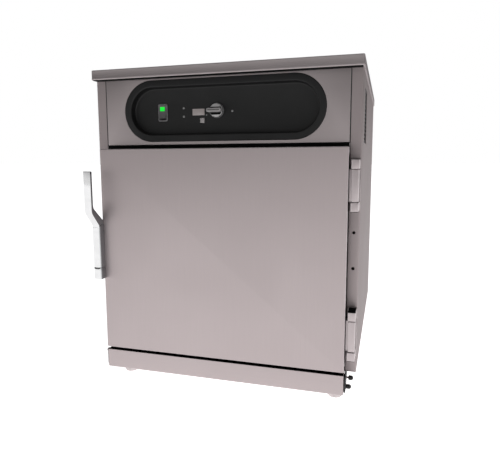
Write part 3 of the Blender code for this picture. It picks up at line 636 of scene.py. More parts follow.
def polishedMetal(name, colour, roughness, dust=0.05, sideShade=None):
    # plated metal: clear reflections with faint handling marks and hairlines; a painted shade colour fades in
    # on the faces that look sideways, which are left satin
    material, g, shader, place = startMaterial(name, 1.0)
    patches = placed(g, "smudges", place, Scale=30.0)
    hairs = placed(g, "brushed", place, Stretch=(140.0, 140.0, 9.0), Strength=0.4)
    dull = tuple(part * 0.90 for part in colour)
    toned = g.mix(patches.outputs["Broad"], colour, dull)
    rough = g.spread(patches.outputs["Fine"], 0.3, 0.7, roughness * 0.7, roughness * 1.5)
    if sideShade:
        split = g.add("ShaderNodeSeparateXYZ")
        g.join(g.add("ShaderNodeTexCoord").outputs["Normal"], split.inputs[0])
        sideways = g.spread(g.math("ABSOLUTE", split.outputs["X"]), 0.35, 0.95, 0.0, 1.0)
        # painted shade: sideways faces darken towards the side shade colour
        toned = g.mix(sideways, toned, sideShade)
        rough = g.math("ADD", rough, g.math("MULTIPLY", sideways, 0.30))
    dusted = placed(g, "dust", place, Amount=dust)
    g.join(g.mix(dusted.outputs["Mask"], toned, (0.45, 0.43, 0.41)), shader.inputs["Base Color"])
    g.join(rough, shader.inputs["Roughness"])
    bumped(g, shader, hairs.outputs["Height"], 0.03, 0.0001)
    return material


def glowing(name, colour, roughness, light, strength, tone=0.2):
    # lit lens or screen: brighter where the noise is high, ribbed by a fine wave
    material, g, shader, place = startMaterial(name, 0.0, 0.4)
    patches = placed(g, "smudges", place, Scale=60.0)
    dull = tuple(part * (1 - tone) for part in colour)
    g.join(g.mix(patches.outputs["Fine"], dull, colour), shader.inputs["Base Color"])
    lit = g.mix(patches.outputs["Fine"], tuple(part * (1 - tone) for part in light), light)
    g.join(lit, shader.inputs["Emission Color"])
    shader.inputs["Emission Strength"].default_value = strength
    shader.inputs["Roughness"].default_value = roughness
    ribs = g.add("ShaderNodeTexWave", bands_direction="Z")
    ribs.inputs["Scale"].default_value = 220.0
    g.join(place, ribs.inputs["Vector"])
    bumped(g, shader, ribs.outputs["Fac"], 0.10, 0.0001)
    return material


def mineralWool(name):
    # matted yellow fibres: two crossed stretched noises as colour and height
    material, g, shader, place = startMaterial(name, 0.0)
    flat = placed(g, "brushed", place, Stretch=(40.0, 420.0, 260.0), Strength=1.0)
    cross = placed(g, "brushed", place, Stretch=(420.0, 60.0, 90.0), Strength=1.0)
    fibres = g.math("MULTIPLY", g.math("ADD", flat.outputs["Streaks"], cross.outputs["Streaks"]), 0.5)
    g.join(g.mix(fibres, (0.34, 0.27, 0.12), (0.78, 0.70, 0.48)), shader.inputs["Base Color"])
    g.join(g.spread(fibres, 0.3, 0.7, 0.88, 1.0), shader.inputs["Roughness"])
    bumped(g, shader, fibres, 0.8, 0.003)
    return material


print("making finishes")
steelColour = (0.482, 0.420, 0.423)
steel = brushedMetal("brushed steel", steelColour, 0.42)
# painted shade: the sides, fascia and cap are darker copies of the same brushed steel, standing in for the
# shade on these faces
steelSidePaintedDark = brushedMetal("brushed steel sides", (0.430, 0.372, 0.374), 0.50, 0.70, (260.0, 260.0, 6.0),
                         grazing=0.35)
steelFasciaPaintedDark = brushedMetal("brushed steel fascia", (0.39, 0.344, 0.346), 0.42)
steelCapPaintedDark = brushedMetal("brushed steel cap", (0.455, 0.405, 0.407), 0.45, 0.75, grazing=0.45)
steelDoor = brushedMetal("brushed steel door", steelColour, 0.42, stretch=(260.0, 260.0, 5.0))
steelInside = brushedMetal("cavity steel", (0.40, 0.372, 0.374), 0.40, stretch=(8.0, 220.0, 220.0), dust=0.05)
castMetal = brushedMetal("cast hinge metal", (0.52, 0.46, 0.465), 0.40, stretch=(60.0, 60.0, 60.0),
                         streak=0.4)
footMetal = brushedMetal("foot casting", (0.50, 0.45, 0.45), 0.45, stretch=(90.0, 90.0, 40.0), streak=0.5)
charcoal = mouldedPlastic("charcoal panel", (0.0068, 0.0068, 0.0070), 0.50, 700.0, edge=0.15, dust=0.05,
                          shine=0.30)
blackPlastic = mouldedPlastic("black plastic", (0.008, 0.008, 0.008), 0.55, 900.0)
blackPaint = mouldedPlastic("black powder coat", (0.010, 0.010, 0.010), 0.6, 500.0, 0.3)
greyPlastic = mouldedPlastic("grey control plastic", (0.42, 0.41, 0.41), 0.42, 1100.0, 0.08)
bezelPlastic = mouldedPlastic("rocker frame plastic", (0.125, 0.122, 0.125), 0.40, 1100.0, 0.08)
rockerPlastic = mouldedPlastic("rocker plastic", (0.10, 0.098, 0.10), 0.40, 1100.0, 0.08)
buttonPlastic = mouldedPlastic("button plastic", (0.31, 0.29, 0.29), 0.40, 1100.0, 0.08)
gripPlastic = mouldedPlastic("knob grip plastic", (0.24, 0.23, 0.23), 0.40, 1100.0, 0.08)
matteBlack = mouldedPlastic("matte black", (0.004, 0.004, 0.004), 0.85, 900.0, edge=0.1, dust=0.0, shine=0.08)
gasketRubber = mouldedPlastic("gasket rubber", (0.022, 0.022, 0.022), 0.80, 600.0, 0.35, dust=0.2)
chrome = polishedMetal("polished chrome", (0.86, 0.86, 0.87), 0.10)
latchChromeSideShaded = polishedMetal("latch chrome", (0.74, 0.74, 0.745), 0.07, sideShade=(0.27, 0.28, 0.29))
wireChrome = polishedMetal("shelf wire plating", (0.78, 0.77, 0.76), 0.20)
heaterSheath = brushedMetal("heater sheath", (0.17, 0.13, 0.11), 0.50, 0.8, (60.0, 60.0, 60.0), 0.9)
motorMetal = brushedMetal("motor casting", (0.30, 0.30, 0.31), 0.55, 0.7, (70.0, 70.0, 70.0), 0.7)
greenLens = glowing("green lens", (0.005, 0.30, 0.015), 0.30, (0.0, 1.0, 0.045), 0.80)
screenGlass = glowing("display glass", (0.30, 0.265, 0.26), 0.25, (0.50, 0.44, 0.43), 0.10, 0.1)
lampGlass = glowing("lamp glass", (0.11, 0.11, 0.11), 0.30, (0.25, 0.25, 0.25), 0.22)
wool = mineralWool("mineral wool")


carriedOver = {
    "base_plate": steel,
    "back_panel": steelSidePaintedDark,
    "front_frame": steelInside,
    "bay_floor": steelInside,
    "insulation_blanket": wool,
    "door_insulation": wool,
    "liner_back": steelInside,
    "control_box": blackPaint,
    "hinge_upper_pin": castMetal,
    "hinge_lower_pin": castMetal,
    "latch_pin": latchChromeSideShaded,
    "latch_magnet": blackPaint,
    "fan_motor": motorMetal,
}
for nodeName, look in carriedOver.items():
    mesh = frame["nodes"][nodeName].data
    mesh.materials.clear()
    mesh.materials.append(look)

joint = {entry["name"]: entry for entry in frame["joints"]}


print("making the outer shell")
cap = {"corner": 0.004, "roll": 0.0028, "hem": 0.0042, "hemStep": 0.0003, "lip": 0.022, "sheet": 0.0015}
low, high = corners("top_cap")
tall = high[2] - low[2]
step, wall = cap["hemStep"], cap["sheet"]
capProfile = [
    (step + wall + 0.001, tall - wall), (step + wall, tall - wall - 0.001), (step + wall, wall),
    (cap["lip"], wall), (cap["lip"], 0.0), (0.0008, 0.0, 0.1), (0.0002, 0.0002, 0.2), (0.0, 0.0008, 0.2),
    (0.0, cap["hem"], 0.2), (step, cap["hem"] + 0.0007), (step, tall - cap["roll"]),
] + arc(180, 90, cap["roll"], (step + cap["roll"], tall - cap["roll"]), 6)
piece("cap_skin", [rectShell(low, high, "top", cap["corner"], capProfile)], steelCapPaintedDark, "cabinet",
      ["top_cap"])

sides = {"sheet": 0.0015, "bend": 0.0028, "post": 0.0265, "rearFlange": 0.018, "postReturn": 0.025,
         "holeRadius": 0.0038, "holes": (0.340, 0.426), "holeX": 0.3297}
vent = {"depth": (0.092, 0.208), "height": (0.639, 0.775), "blades": 13, "bladeWidth": 0.0085,
        "blade": 0.0009}
for sideName, sign in (("left", -1), ("right", 1)):
    node = f"side_panel_{sideName}"
    low, high = corners(node)
    outer = max(abs(low[0]), abs(high[0]))
    front, rear, sheet = low[1], high[1], sides["sheet"]
    edge = outer - sides["post"]
    plan = [
        (edge, front), (outer, front), (outer, rear), (outer - sides["rearFlange"], rear),
        (outer - sides["rearFlange"], rear - sheet), (outer - sheet, rear - sheet),
        (outer - sheet, front + sheet),
        (edge + sheet, front + sheet), (edge + sheet, front + sides["postReturn"]),
        (edge, front + sides["postReturn"]),
    ]
    plan = filleted(plan, [0.002, sides["bend"], sides["bend"], 0.0006, 0.0006, 0.0012, 0.0012, 0.0008,
                           0.0006, 0.0006], 6)
    plan = plan * (sign, 1)
    holes = [
        lathe([(0, 0.006), (sides["holeRadius"], 0.006), (sides["holeRadius"], -0.002), (0, -0.002)],
              (sign * sides["holeX"], front, z), (0, 1, 0), 24)
        for z in sides["holes"]
    ]
    if sign > 0:
        ventLow = (outer - 0.004, frontY + vent["depth"][0], vent["height"][0])
        ventHigh = (outer + 0.003, frontY + vent["depth"][1], vent["height"][1])
        holes.append(slab(ventLow, ventHigh, "right", 0.004, 0.0001))
    piece(f"side_skin_{sideName}", [plate(plan, low[2], high[2], "top", 0.0003)], steelSidePaintedDark, "cabinet",
          [node], holes=holes)

low, high = corners("vent_grille")
middle = (low + high) / 2
ventWidth, ventTall = vent["depth"][1] - vent["depth"][0], vent["height"][1] - vent["height"][0]
shells = [band((low[0], middle[1], middle[2]), ventWidth - 0.006, ventTall - 0.006, 0.003, "right",
               [(0, 0.0002), (0, 0.0012), (0.0004, 0.0016), (0.0080, 0.0016), (0.0085, 0.0010), (0.0085, 0),
                (0.0003, 0)])]
tilt = math.radians(42)
for k in range(vent["blades"]):
    z = vent["height"][0] + ventTall * (k + 0.5) / vent["blades"]
    path = np.array([(high[0] - 0.0035, middle[1] - ventWidth / 2 + 0.001, z),
                     (high[0] - 0.0035, middle[1] + ventWidth / 2 - 0.001, z)])
    across, up = np.array([math.cos(tilt), -math.sin(tilt)]), np.array([math.sin(tilt), math.cos(tilt)])
    halfWidth, halfThick = vent["bladeWidth"] / 2, vent["blade"] / 2
    section = [a * halfWidth * across + b * halfThick * up for a,
               b in ((-1, -1), (1, -1), (1.04, 0), (1, 1), (-1, 1), (-1.04, 0))]
    shells.append(carried(path, section, (0, 0, 1)))
piece("vent_louvres", shells, blackPaint, "cabinet", ["vent_grille"])

low, high = corners("control_fascia")
recessLow, recessHigh = corners("control_recess")
recessMiddle = (recessLow + recessHigh) / 2
windowSize = (recessHigh - recessLow)[[0, 2]] + 0.0008
window = roundedRect(windowSize[0], windowSize[1], windowSize[1] / 2, 24) + recessMiddle[[0, 2]]
opening = plate(window, -frontY - 0.005, -frontY + 0.004, "front", 0.0001)
piece("fascia_skin", [pan(low, high, "front", 0.0022, 0.0012, 0.0010)], steelFasciaPaintedDark, "cabinet",
      ["control_fascia"],
      holes=[opening])

# painted shadow: matte black strips under the cap's lip and between the fascia and the door stand in for the
# shade that falls in these gaps
lipShadow = {"lipDeep": 0.0180, "lipThick": 0.0014, "sideGap": 0.004, "inset": 0.0012}
low, high = corners("top_cap")
lipY = low[1] + lipShadow["inset"]
lipLow = (low[0] + lipShadow["sideGap"], lipY, low[2] + 0.0001 - lipShadow["lipThick"])
lipHigh = (high[0] - lipShadow["sideGap"], lipY + lipShadow["lipDeep"], low[2] + 0.0002)
piece("cap_lip_seal", [slab(lipLow, lipHigh, "bottom", 0.001, 0.0004)], matteBlack, "cabinet")


def ribbedShadowStrip(name, bottom, tall, halfWidth, stand, swing, ribs, count):
    # matte black strip across the front, painted shadow in a gap: y = front - stand - swing * cos(2 pi ribs
    # t), t from 0 to 1 up its height
    share = np.linspace(0, 1, count)
    ribbed = frontY - stand - swing * np.cos(tau * ribs * share)
    rise = bottom + tall * share
    back = [(frontY + 0.0002, rise[-1]), (frontY + 0.0002, rise[0])]
    outline = np.vstack([np.stack([ribbed, rise], axis=1), back])
    piece(name, [plate(outline, -halfWidth, halfWidth, "right", 0.0002)], matteBlack, "cabinet")


# painted shadow in the gaps above and below the door
ribbedShadowStrip("door_top_seal", 0.6262, 0.0095, 0.3150, 0.00165, 0.00055, 3, 31)
ribbedShadowStrip("door_bottom_seal", 0.0880, 0.0064, 0.3162, 0.0016, 0.0004, 2, 21)
# half-round beads in the seams beside the fascia: (side, lift) = (w cos t, h sin t)
turn = np.linspace(0, math.pi, 9)
beadSection = np.vstack([np.stack([0.0011 * np.cos(turn), 0.0003 * np.sin(turn)], axis=1),
                         [(-0.0006, -0.0020), (0.0006, -0.0020)]])
beads = [carried([(x, frontY, 0.6362), (x, frontY, 0.8015)], beadSection, (0, -1, 0)) for x in (-0.3160,
                                                                                                0.3160)]
piece("seam_beads", beads, gasketRubber, "cabinet")

print("making the controls")
recess = {"rim": 0.0175, "wall": 0.002, "fillet": 0.0045, "lip": 0.0022, "outerRoll": 0.0013,
          "rimBack": 0.003}
depth = recessHigh[1] - recessLow[1]
rim, cove, lip, roll = recess["rim"], recess["fillet"], recess["lip"], recess["outerRoll"]
recessProfile = arc(270, 180, cove, (rim + cove, recess["wall"] + cove), 6, 0)
recessProfile += arc(0, 90, lip, (rim - lip, depth - lip), 6, 0.3)
recessProfile += [(rim - lip - 0.001, depth)]
recessProfile += arc(90, 180, roll, (roll, depth - roll), 5, 0.3)
recessProfile += [(0, depth - recess["rimBack"]), (rim - recess["wall"], depth - recess["rimBack"]),
                  (rim - recess["wall"], 0.001), (rim - 0.001, 0)]
tray = rectShell(recessLow, recessHigh, "front", (recessHigh - recessLow)[2] / 2, recessProfile, 26)
bezelLow, bezelHigh = corners("rocker_bezel")
buttonLow, buttonHigh = corners("set_button")
knobAt = np.array(joint["thermostat_turn"]["pos_m"])
floorY = frontY + 0.0215
rockerHole = slab((bezelLow[0] + 0.0017, floorY - 0.004, bezelLow[2] + 0.0019),
                  (bezelHigh[0] - 0.0017, floorY + 0.007, bezelHigh[2] - 0.0019), "front", 0.001, 0.0001)
buttonHole = slab(buttonLow + (0.0006, -0.002, 0.0004), buttonHigh + (-0.0004, 0.002, -0.0004), "front",
                  0.0018, 0.0001)
shaftHole = lathe([(0, 0.006), (0.0036, 0.006), (0.0036, -0.004), (0, -0.004)],
                  (knobAt[0], floorY, knobAt[2]), (0, 1, 0), 24)
piece("recess_tray", [tray], charcoal, "cabinet", ["control_recess"],
      holes=[rockerHole, buttonHole, shaftHole])

bezelMiddle = (bezelLow + bezelHigh) / 2
bezelSection = [
    (0, -0.0180), (0, 0.0018), (0.0003, 0.0025), (0.0010, 0.0029), (0.0022, 0.0024), (0.0028, 0.0014),
    (0.0030, 0.0006), (0.0028, 0.0003), (0.0010, 0.0003), (0.0010, -0.0180),
]
sill = slab((bezelLow[0] + 0.0028, floorY - 0.0012, bezelLow[2] + 0.0028),
            (bezelHigh[0] - 0.0028, floorY + 0.0040, bezelLow[2] + 0.0046),
            "front", 0.0008, 0.0004)
piece("rocker_frame",
      [sill, band((bezelMiddle[0], floorY, bezelMiddle[2]), bezelHigh[0] - bezelLow[0] - 0.006,
                            bezelHigh[2] - bezelLow[2] - 0.006, 0.0012, "front", bezelSection,
                            [0, 0, 0.6, 1, 1, 0.6, 0.2, 0, 0, 0])],
      bezelPlastic, "cabinet", ["rocker_bezel"])

rocker = {"halfHeight": 0.0172, "tilt": math.radians(-8), "hollow": 0.0020, "face": 0.0100,
          "lens": (0.0024, 0.0126), "lensInset": 0.0016}
rockerAt = np.array(joint["power_rocker_tilt"]["pos_m"])


def tilted(points):
    # side points (depth, height) about the axle, turned by the rocker's tilt
    points = np.asarray(points, float)
    c, s = math.cos(rocker["tilt"]), math.sin(rocker["tilt"])
    return np.stack([points[:, 0] * c - points[:, 1] * s, points[:, 0] * s + points[:, 1] * c],
                    axis=1) + rockerAt[1:]


v = np.linspace(1, -1, 15) * rocker["halfHeight"]
face = -rocker["face"] - rocker["hollow"] * (v / rocker["halfHeight"]) ** 2
rockerOutline = np.vstack([np.stack([face, v], axis=1), [(0.004, -0.0130), (0.0075, 0.0), (0.004, 0.0130)]])
rockerLow, rockerHigh = corners("power_rocker")
piece("rocker_cap", [plate(tilted(rockerOutline), rockerLow[0], rockerHigh[0], "right", 0.0007)],
      rockerPlastic,
      "rocker", ["power_rocker"])
v = np.linspace(rocker["lens"][0], rocker["lens"][1], 9)
face = -rocker["face"] - rocker["hollow"] * (v / rocker["halfHeight"]) ** 2
lensOutline = np.vstack([np.stack([face - 0.0008, v], axis=1), np.stack([face + 0.0006, v], axis=1)[::-1]])
lensLow, lensHigh = corners("rocker_lens")
piece("rocker_light",
      [plate(tilted(lensOutline), lensLow[0] + rocker["lensInset"], lensHigh[0] - rocker["lensInset"],
             "right", 0.0004)], greenLens,
      "rocker", ["rocker_lens"])

low, high = corners("display_window")
piece("display_glass",
      [slab(low + (0.0006, 0, 0.0014), high - (0.0010, 0, 0.0008), "front", 0.0010, 0.0005)], screenGlass,
      "cabinet", ["display_window"])
piece("button_cap", [slab(buttonLow + (0.0010, 0, 0.0008), buttonHigh - (0.0008, 0, 0.0008), "front",
                          0.0018, 0.0012, 0.0003)], buttonPlastic, "set_button",
      ["set_button"])

knob = {"flutes": 36, "fluteDepth": 0.0005, "left": 0.0218, "right": 0.0172, "grip": 0.0056}
knobFace = (knobAt[0], floorY, knobAt[2])
knobProfile = [
    (0, 0.0118), (0.0060, 0.0118, 0), (0.0138, 0.0116, 0), (0.0152, 0.0112, 0.2), (0.0163, 0.0102, 0.8),
    (0.0168, 0.0090, 1),
    (0.0176, 0.0042, 1), (0.0181, 0.0036, 0.6), (0.0186, 0.0026, 0), (0.0187, 0.0014, 0), (0.0183, 0.0010, 0),
    (0.0030, 0.0010, 0), (0.0030, -0.0100, 0), (0, -0.0100),
]
skirt = lathe(withFlutes(knobProfile), knobFace,
              (0, -1, 0), 216,
              knob["flutes"], knob["fluteDepth"], [0, 0, 0.2, 0.6, 0.8, 0.2, 0.2, 0.8, 0.8, 0.2, 0, 0])
piece("knob_skirt", [skirt], rockerPlastic, "thermostat_knob", ["thermostat_knob"])
knobDisc = lathe([(0, 0.0124), (0.0120, 0.0123), (0.0150, 0.0120), (0.0164, 0.0110), (0.0170, 0.0094),
                  (0.0166, 0.0090), (0, 0.0090)],
                 knobFace, (0, -1, 0), 96)
piece("knob_disc", [knobDisc], greyPlastic, "thermostat_knob")
gripMiddle = knobAt[0] + (knob["right"] - knob["left"]) / 2
gripLength = knob["left"] + knob["right"]
gripFront = corners("thermostat_knob")[0][1]
gripLow = np.array((gripMiddle - gripLength / 2, gripFront, knobAt[2] - knob["grip"]))
gripHigh = np.array((gripMiddle + gripLength / 2, floorY - 0.0095, knobAt[2] + knob["grip"]))
gripDepth = gripHigh[1] - gripLow[1]
gripProfile = [(0.0004, 0), (0, 0.0004), (0.0006, gripDepth - 0.0036)]
gripProfile += arc(180, 90, 0.0026, (0.0032, gripDepth - 0.0026), 6)
gripProfile += [(0.0044, gripDepth - 0.0001), (0.0050, gripDepth - 0.0012)]
piece("knob_grip", [rectShell(gripLow, gripHigh, "front", 0.0046, gripProfile, 8)], gripPlastic,
      "thermostat_knob", ["thermostat_knob"])
# painted shadow behind and below the grip and over the knob's right side: a dark plate, radius * (cos, sin)
# about the knob, kept between two levels left of the edge line and whole to the right of it; a dark line runs
# across the grip's middle
knobShadow = {"radius": 0.0156, "edge": 0.0112, "below": -0.0112, "above": 0.0084, "stand": (0.0106, 0.0126),
         "line": 0.0004}
wide = math.acos(knobShadow["edge"] / knobShadow["radius"])
topAngle, lowAngle = math.asin(knobShadow["above"] / knobShadow["radius"]), math.asin(knobShadow["below"] / knobShadow["radius"])
turn = np.concatenate([np.linspace(-wide, wide, 24), np.linspace(math.pi - topAngle, math.pi - lowAngle, 24)])
knobShadowOutline = knobShadow["radius"] * np.stack([np.cos(turn), np.sin(turn)], axis=1)
knobShadowOutline = np.vstack([knobShadowOutline[:24], [(knobShadow["edge"], knobShadow["above"])], knobShadowOutline[24:],
                          [(knobShadow["edge"], knobShadow["below"])]])
gripDarkLine = slab((gripLow[0] + 0.0030, gripFront, knobAt[2] - knobShadow["line"]),
              (gripHigh[0] - 0.0030, gripFront + 0.0010, knobAt[2] + knobShadow["line"]),
              "front", 0.0005, 0.0002)
piece("knob_inlay", [plate(knobShadowOutline, knobShadow["stand"][0], knobShadow["stand"][1], "front", 0.0002, knobFace),
                     gripDarkLine], matteBlack,
      "thermostat_knob")


def dome(radius, height, at, axis, steps=24):
    # low dome on a short collar: height * cos of the share of the radius
    share = np.linspace(0, 1, 6)
    profile = [(0, height)] + [(radius * s,
                                height * (0.35 + 0.65 * math.cos(s * math.pi / 2))) for s in share[1:]]
    return lathe(profile + [(radius, 0.0), (0, 0.0)], at, axis, steps)


for nodeName in ("indicator_lamp_upper", "indicator_lamp_lower"):
    low, high = corners(nodeName)
    at = ((low[0] + high[0]) / 2, floorY - 0.0002, (low[2] + high[2]) / 2)
    piece(nodeName.replace("indicator_lamp", "lamp_dome"), [dome(0.0028, 0.0016, at, (0, -1, 0))], lampGlass,
          "cabinet", [nodeName])
pilots = [dome(radius, 0.0012, (x, floorY - 0.0001, z), (0, -1, 0), 16)
          for radius, x, z in ((0.0018, -0.0435, 0.7100), (0.0027, 0.0250, 0.7180))]
piece("pilot_dots", pilots, lampGlass, "cabinet")

print("making the door")
doorLook = {"corner": 0.0020, "roll": 0.0020, "wall": 0.0012, "frameWidth": 0.0168}
low, high = corners("door_skin")
piece("door_face", [pan(low, high, "front", doorLook["corner"], doorLook["roll"], doorLook["wall"], 8)],
      steelDoor,
      "door", ["door_skin"])
low, high = corners("door_edge_frame")
middle, size = (low + high) / 2, high - low
width = doorLook["frameWidth"]
frameSection = [(0, 0.0005), (0, size[1] - 0.0005), (0.0005, size[1]), (width - 0.0009, size[1]),
                (width - 0.0002, size[1] - 0.0007), (width - 0.0002, size[1] * 0.55),
                (width - 0.0008, size[1] * 0.5),
                (width - 0.0002, size[1] * 0.45), (width - 0.0002, 0.0007), (width - 0.0009, 0), (0.0005, 0)]
piece("door_edge_band",
      [band((middle[0], high[1], middle[2]), size[0] - 2 * width + 0.0004, size[2] - 2 * width + 0.0004,
                              0.003, "front", frameSection)], matteBlack, "door", ["door_edge_frame"])
low, high = corners("door_inner_panel")
thick = high[1] - low[1]
innerProfile = [(0.0006, 0), (0, 0.0004), (0, thick - 0.0004), (0.0004, thick, 0.6), (0.0500, thick),
                (0.0512, thick - 0.0002),
                (0.0536, thick - 0.0007), (0.0550, thick - 0.0008)]
piece("door_liner", [rectShell(low, high, "back", 0.006, innerProfile, 8)], steelInside, "door",
      ["door_inner_panel"])
low, high = corners("door_gasket")
middle, size = (low + high) / 2, high - low
bulb = size[1]
gasketSection = [
    (0.0002, 0), (0.0006, 0.0016), (0.0028, 0.0018), (0.0016, 0.0034), (0.0016, bulb * 0.75),
    (0.0038, bulb * 0.96),
    (0.0080, bulb), (0.0122, bulb * 0.96), (0.0144, bulb * 0.75), (0.0144, 0.0034), (0.0132, 0.0018),
    (0.0154, 0.0016),
    (0.0158, 0),
]
piece("gasket_bulb", [band((middle[0], low[1], middle[2]), size[0] - 0.032, size[2] - 0.032, 0.004, "back",
                           gasketSection)], gasketRubber, "door", ["door_gasket"])

print("making the hinges and latch")
hinge = {"block": 0.0221, "endCap": 0.0010, "setBack": 0.0085, "roll": 0.0014, "pin": 0.0043,
         "leafFront": 0.003}
hingeAt = np.array(joint["door_swing"]["pos_m"])
for hingeName in ("upper", "lower"):
    node = f"hinge_{hingeName}_frame_leaf"
    low, high = corners(node)
    doorFace = low[1]
    blockLow, blockHigh = np.array((hingeAt[0] - 0.009, doorFace, low[2])), np.array((hingeAt[0] + 0.009,
                                                                                      -0.3515, high[2]))
    shells = [slab((low[0], high[1] - hinge["leafFront"], low[2]), high, "front", 0.001, 0.0004)]
    capThick, blockTall = hinge["endCap"], hinge["block"] - hinge["endCap"]
    for bottom in (low[2] + capThick, high[2] - hinge["block"]):
        shells.append(slab((blockLow[0], doorFace, bottom), (blockHigh[0], blockHigh[1], bottom + blockTall),
                           "front", 0.0012, hinge["roll"]))
    ends = [slab((blockLow[0] + 0.0004, doorFace + 0.0006, bottom),
                 (blockHigh[0] - 0.0004, blockHigh[1], bottom + capThick + 0.0002),
                 "top", 0.0012, 0.0003) for bottom in (low[2], high[2] - capThick - 0.0002)]
    piece(f"hinge_{hingeName}_end_caps", ends, matteBlack, "cabinet")
    bore = lathe([(0, high[2] - 0.0015), (hinge["pin"], high[2] - 0.0015), (hinge["pin"], low[2] + 0.0015),
                  (0, low[2] + 0.0015)],
                 (hingeAt[0], hingeAt[1], 0), (0, 0, 1), 28)
    piece(f"hinge_{hingeName}_knuckles", shells, castMetal, "cabinet", [node], holes=[bore])
    node = f"hinge_{hingeName}_door_leaf"
    low, high = corners(node)
    shells = [
        slab((hingeAt[0] - 0.0075, low[1], low[2]), (high[0], -0.3710, high[2]), "front", 0.0012,
             hinge["roll"]),
        slab((low[0], low[1] + hinge["setBack"], low[2]), (hingeAt[0] - 0.0070, high[1], high[2]), "front",
             0.0008, 0.0008),
    ]
    bore = lathe([(0, high[2] + 0.002), (hinge["pin"], high[2] + 0.002), (hinge["pin"], low[2] - 0.002),
                  (0, low[2] - 0.002)],
                 (hingeAt[0], hingeAt[1], 0), (0, 0, 1), 28)
    piece(f"hinge_{hingeName}_barrel", shells, castMetal, "door", [node], holes=[bore])

latch = {"roll": 0.0010, "chamfer": 0.0065, "strap": 0.0075, "lug": 0.008, "neck": 0.0030, "knee": 0.0186,
         "kneeGap": 0.00025, "lugX": (-0.3295, -0.3185), "tailDrop": 0.0045, "bore": 0.0033,
         "slot": ((-0.3300, -0.4068, 0.3995), (-0.3180, -0.3830, 0.4330)),
         "pocket": ((-0.3320, -0.3740, 0.3300), (-0.3200, -0.3540, 0.3850))}
low, high = corners("latch_housing")
doorEdge, behindDoor = -0.3177, frontY - 0.0398
housing = [(low[0], low[1]), (high[0], low[1]), (high[0], behindDoor), (doorEdge, behindDoor),
           (doorEdge, high[1]), (low[0], high[1])]
housing = filleted(housing, [0.0022, latch["chamfer"], 0.0005, 0.0005, 0.0008, 0.0008], 6)
leverAt = np.array(joint["latch_lever_pull"]["pos_m"])
pinHole = lathe([(0, low[0] - 0.002), (latch["bore"], low[0] - 0.002), (latch["bore"], high[0] + 0.002),
                 (0, high[0] + 0.002)],
                (0, leverAt[1], leverAt[2]), (1, 0, 0), 24)
slot, pocket = (slab(*latch[part], "front", 0.0008, 0.0001) for part in ("slot", "pocket"))
# the top front edge is a circle round the lever's pin, and the lever's foot follows it
turn = np.radians(np.linspace(90, 152, 17))
knee = leverAt[1:] + latch["knee"] * np.stack([np.cos(turn), np.sin(turn)], axis=1)
kneeCut = plate(np.vstack([knee, [(-0.4130, knee[-1][1]), (-0.4130, 0.4340), (knee[0][0], 0.4340)]]),
                low[0] - 0.002,
                high[0] + 0.002, "right", 0.0001)
piece("latch_block", [plate(housing, low[2], high[2], "top", 0.0003)], latchChromeSideShaded, "door", ["latch_housing"],
      smooth=27, holes=[pinHole, slot, pocket, kneeCut])
low, high = corners("latch_end_cap")
endPlan = filleted([(low[0], low[1]), (high[0], low[1]), (high[0], high[1]), (low[0], high[1])],
                   [0.0022, latch["chamfer"], 0.0020, 0.0020], 6)
piece("latch_tail", [plate(endPlan, low[2] - latch["tailDrop"], high[2], "top", 0.0014)], latchChromeSideShaded, "door",
      ["latch_end_cap"])
across = np.linspace(-1, 1, 15)
seamPath = np.stack([(low[0] + high[0] - 0.002) / 2 + across * 0.0085, np.full(15, low[1]),
                     high[2] - 0.0030 + 0.0030 * across**4], axis=1)
seamSection = [(-0.0014, -0.0004), (-0.0014, 0.0001), (0.0014, 0.0001), (0.0014, -0.0004)]
piece("latch_seam", [carried(seamPath, seamSection, (0, -1, 0))], blackPlastic, "door")

low, high = corners("latch_lever")
frontLever, topZ, strap = low[1], high[2], latch["strap"]
footRadius = latch["knee"] + latch["kneeGap"]
footFront, footRear = frontY - 0.0600, frontY - 0.0400
turn = np.linspace(math.acos((footFront - leverAt[1]) / footRadius),
                   math.acos((footRear - leverAt[1]) / footRadius), 13)
foot = leverAt[1:] + footRadius * np.stack([np.cos(turn), np.sin(turn)], axis=1)
crank = [foot[-1], (footRear, 0.4400), (frontLever + strap, 0.4765), (frontLever + strap, topZ),
         (frontLever, topZ),
         (frontLever, 0.4640), (footFront, 0.4290), foot[0]]
crank = filleted(crank, [0.0004, 0.0020, 0.0080, 0.0016, 0.0016, 0.0080, 0.0020, 0.0004], 6, closed=False)
leverOutline = np.vstack([foot[1:-1], crank])
piece("lever_strap", [plate(leverOutline, low[0], high[0], "right", 0.0008)], latchChromeSideShaded, "latch_lever",
      ["latch_lever"])
angle = np.radians(np.linspace(112, 428, 29))
lug = leverAt[1:] + latch["lug"] * np.stack([np.cos(angle), np.sin(angle)], axis=1)
lug = np.vstack([lug, [(leverAt[1] + latch["neck"], 0.4345), (leverAt[1] - latch["neck"], 0.4345)]])
bore = lathe([(0, -0.332), (latch["bore"], -0.332), (latch["bore"], -0.316), (0, -0.316)],
             (0, leverAt[1], leverAt[2]),
             (1, 0, 0), 24)
piece("lever_lug", [plate(lug, latch["lugX"][0], latch["lugX"][1], "right", 0.0004)], chrome, "latch_lever",
      holes=[bore])
plug = dome(0.0028, 0.0005, (high[0] - 0.0001, frontLever + strap / 2, topZ - 0.0050), (1, 0, 0), 16)
piece("lever_plug", [plug], blackPlastic, "latch_lever")
low, high = corners("latch_strike")
strikeMiddle = (low + high) / 2
shells = [slab(low, high, "front", 0.0020, 0.0006)]
shells += [dome(0.0034, 0.0008, (strikeMiddle[0], low[1] + 0.0002, z), (0, -1, 0)) for z in (low[2] + 0.010,
    high[2] - 0.010)]
piece("strike_plate", shells, chrome, "cabinet", ["latch_strike"])

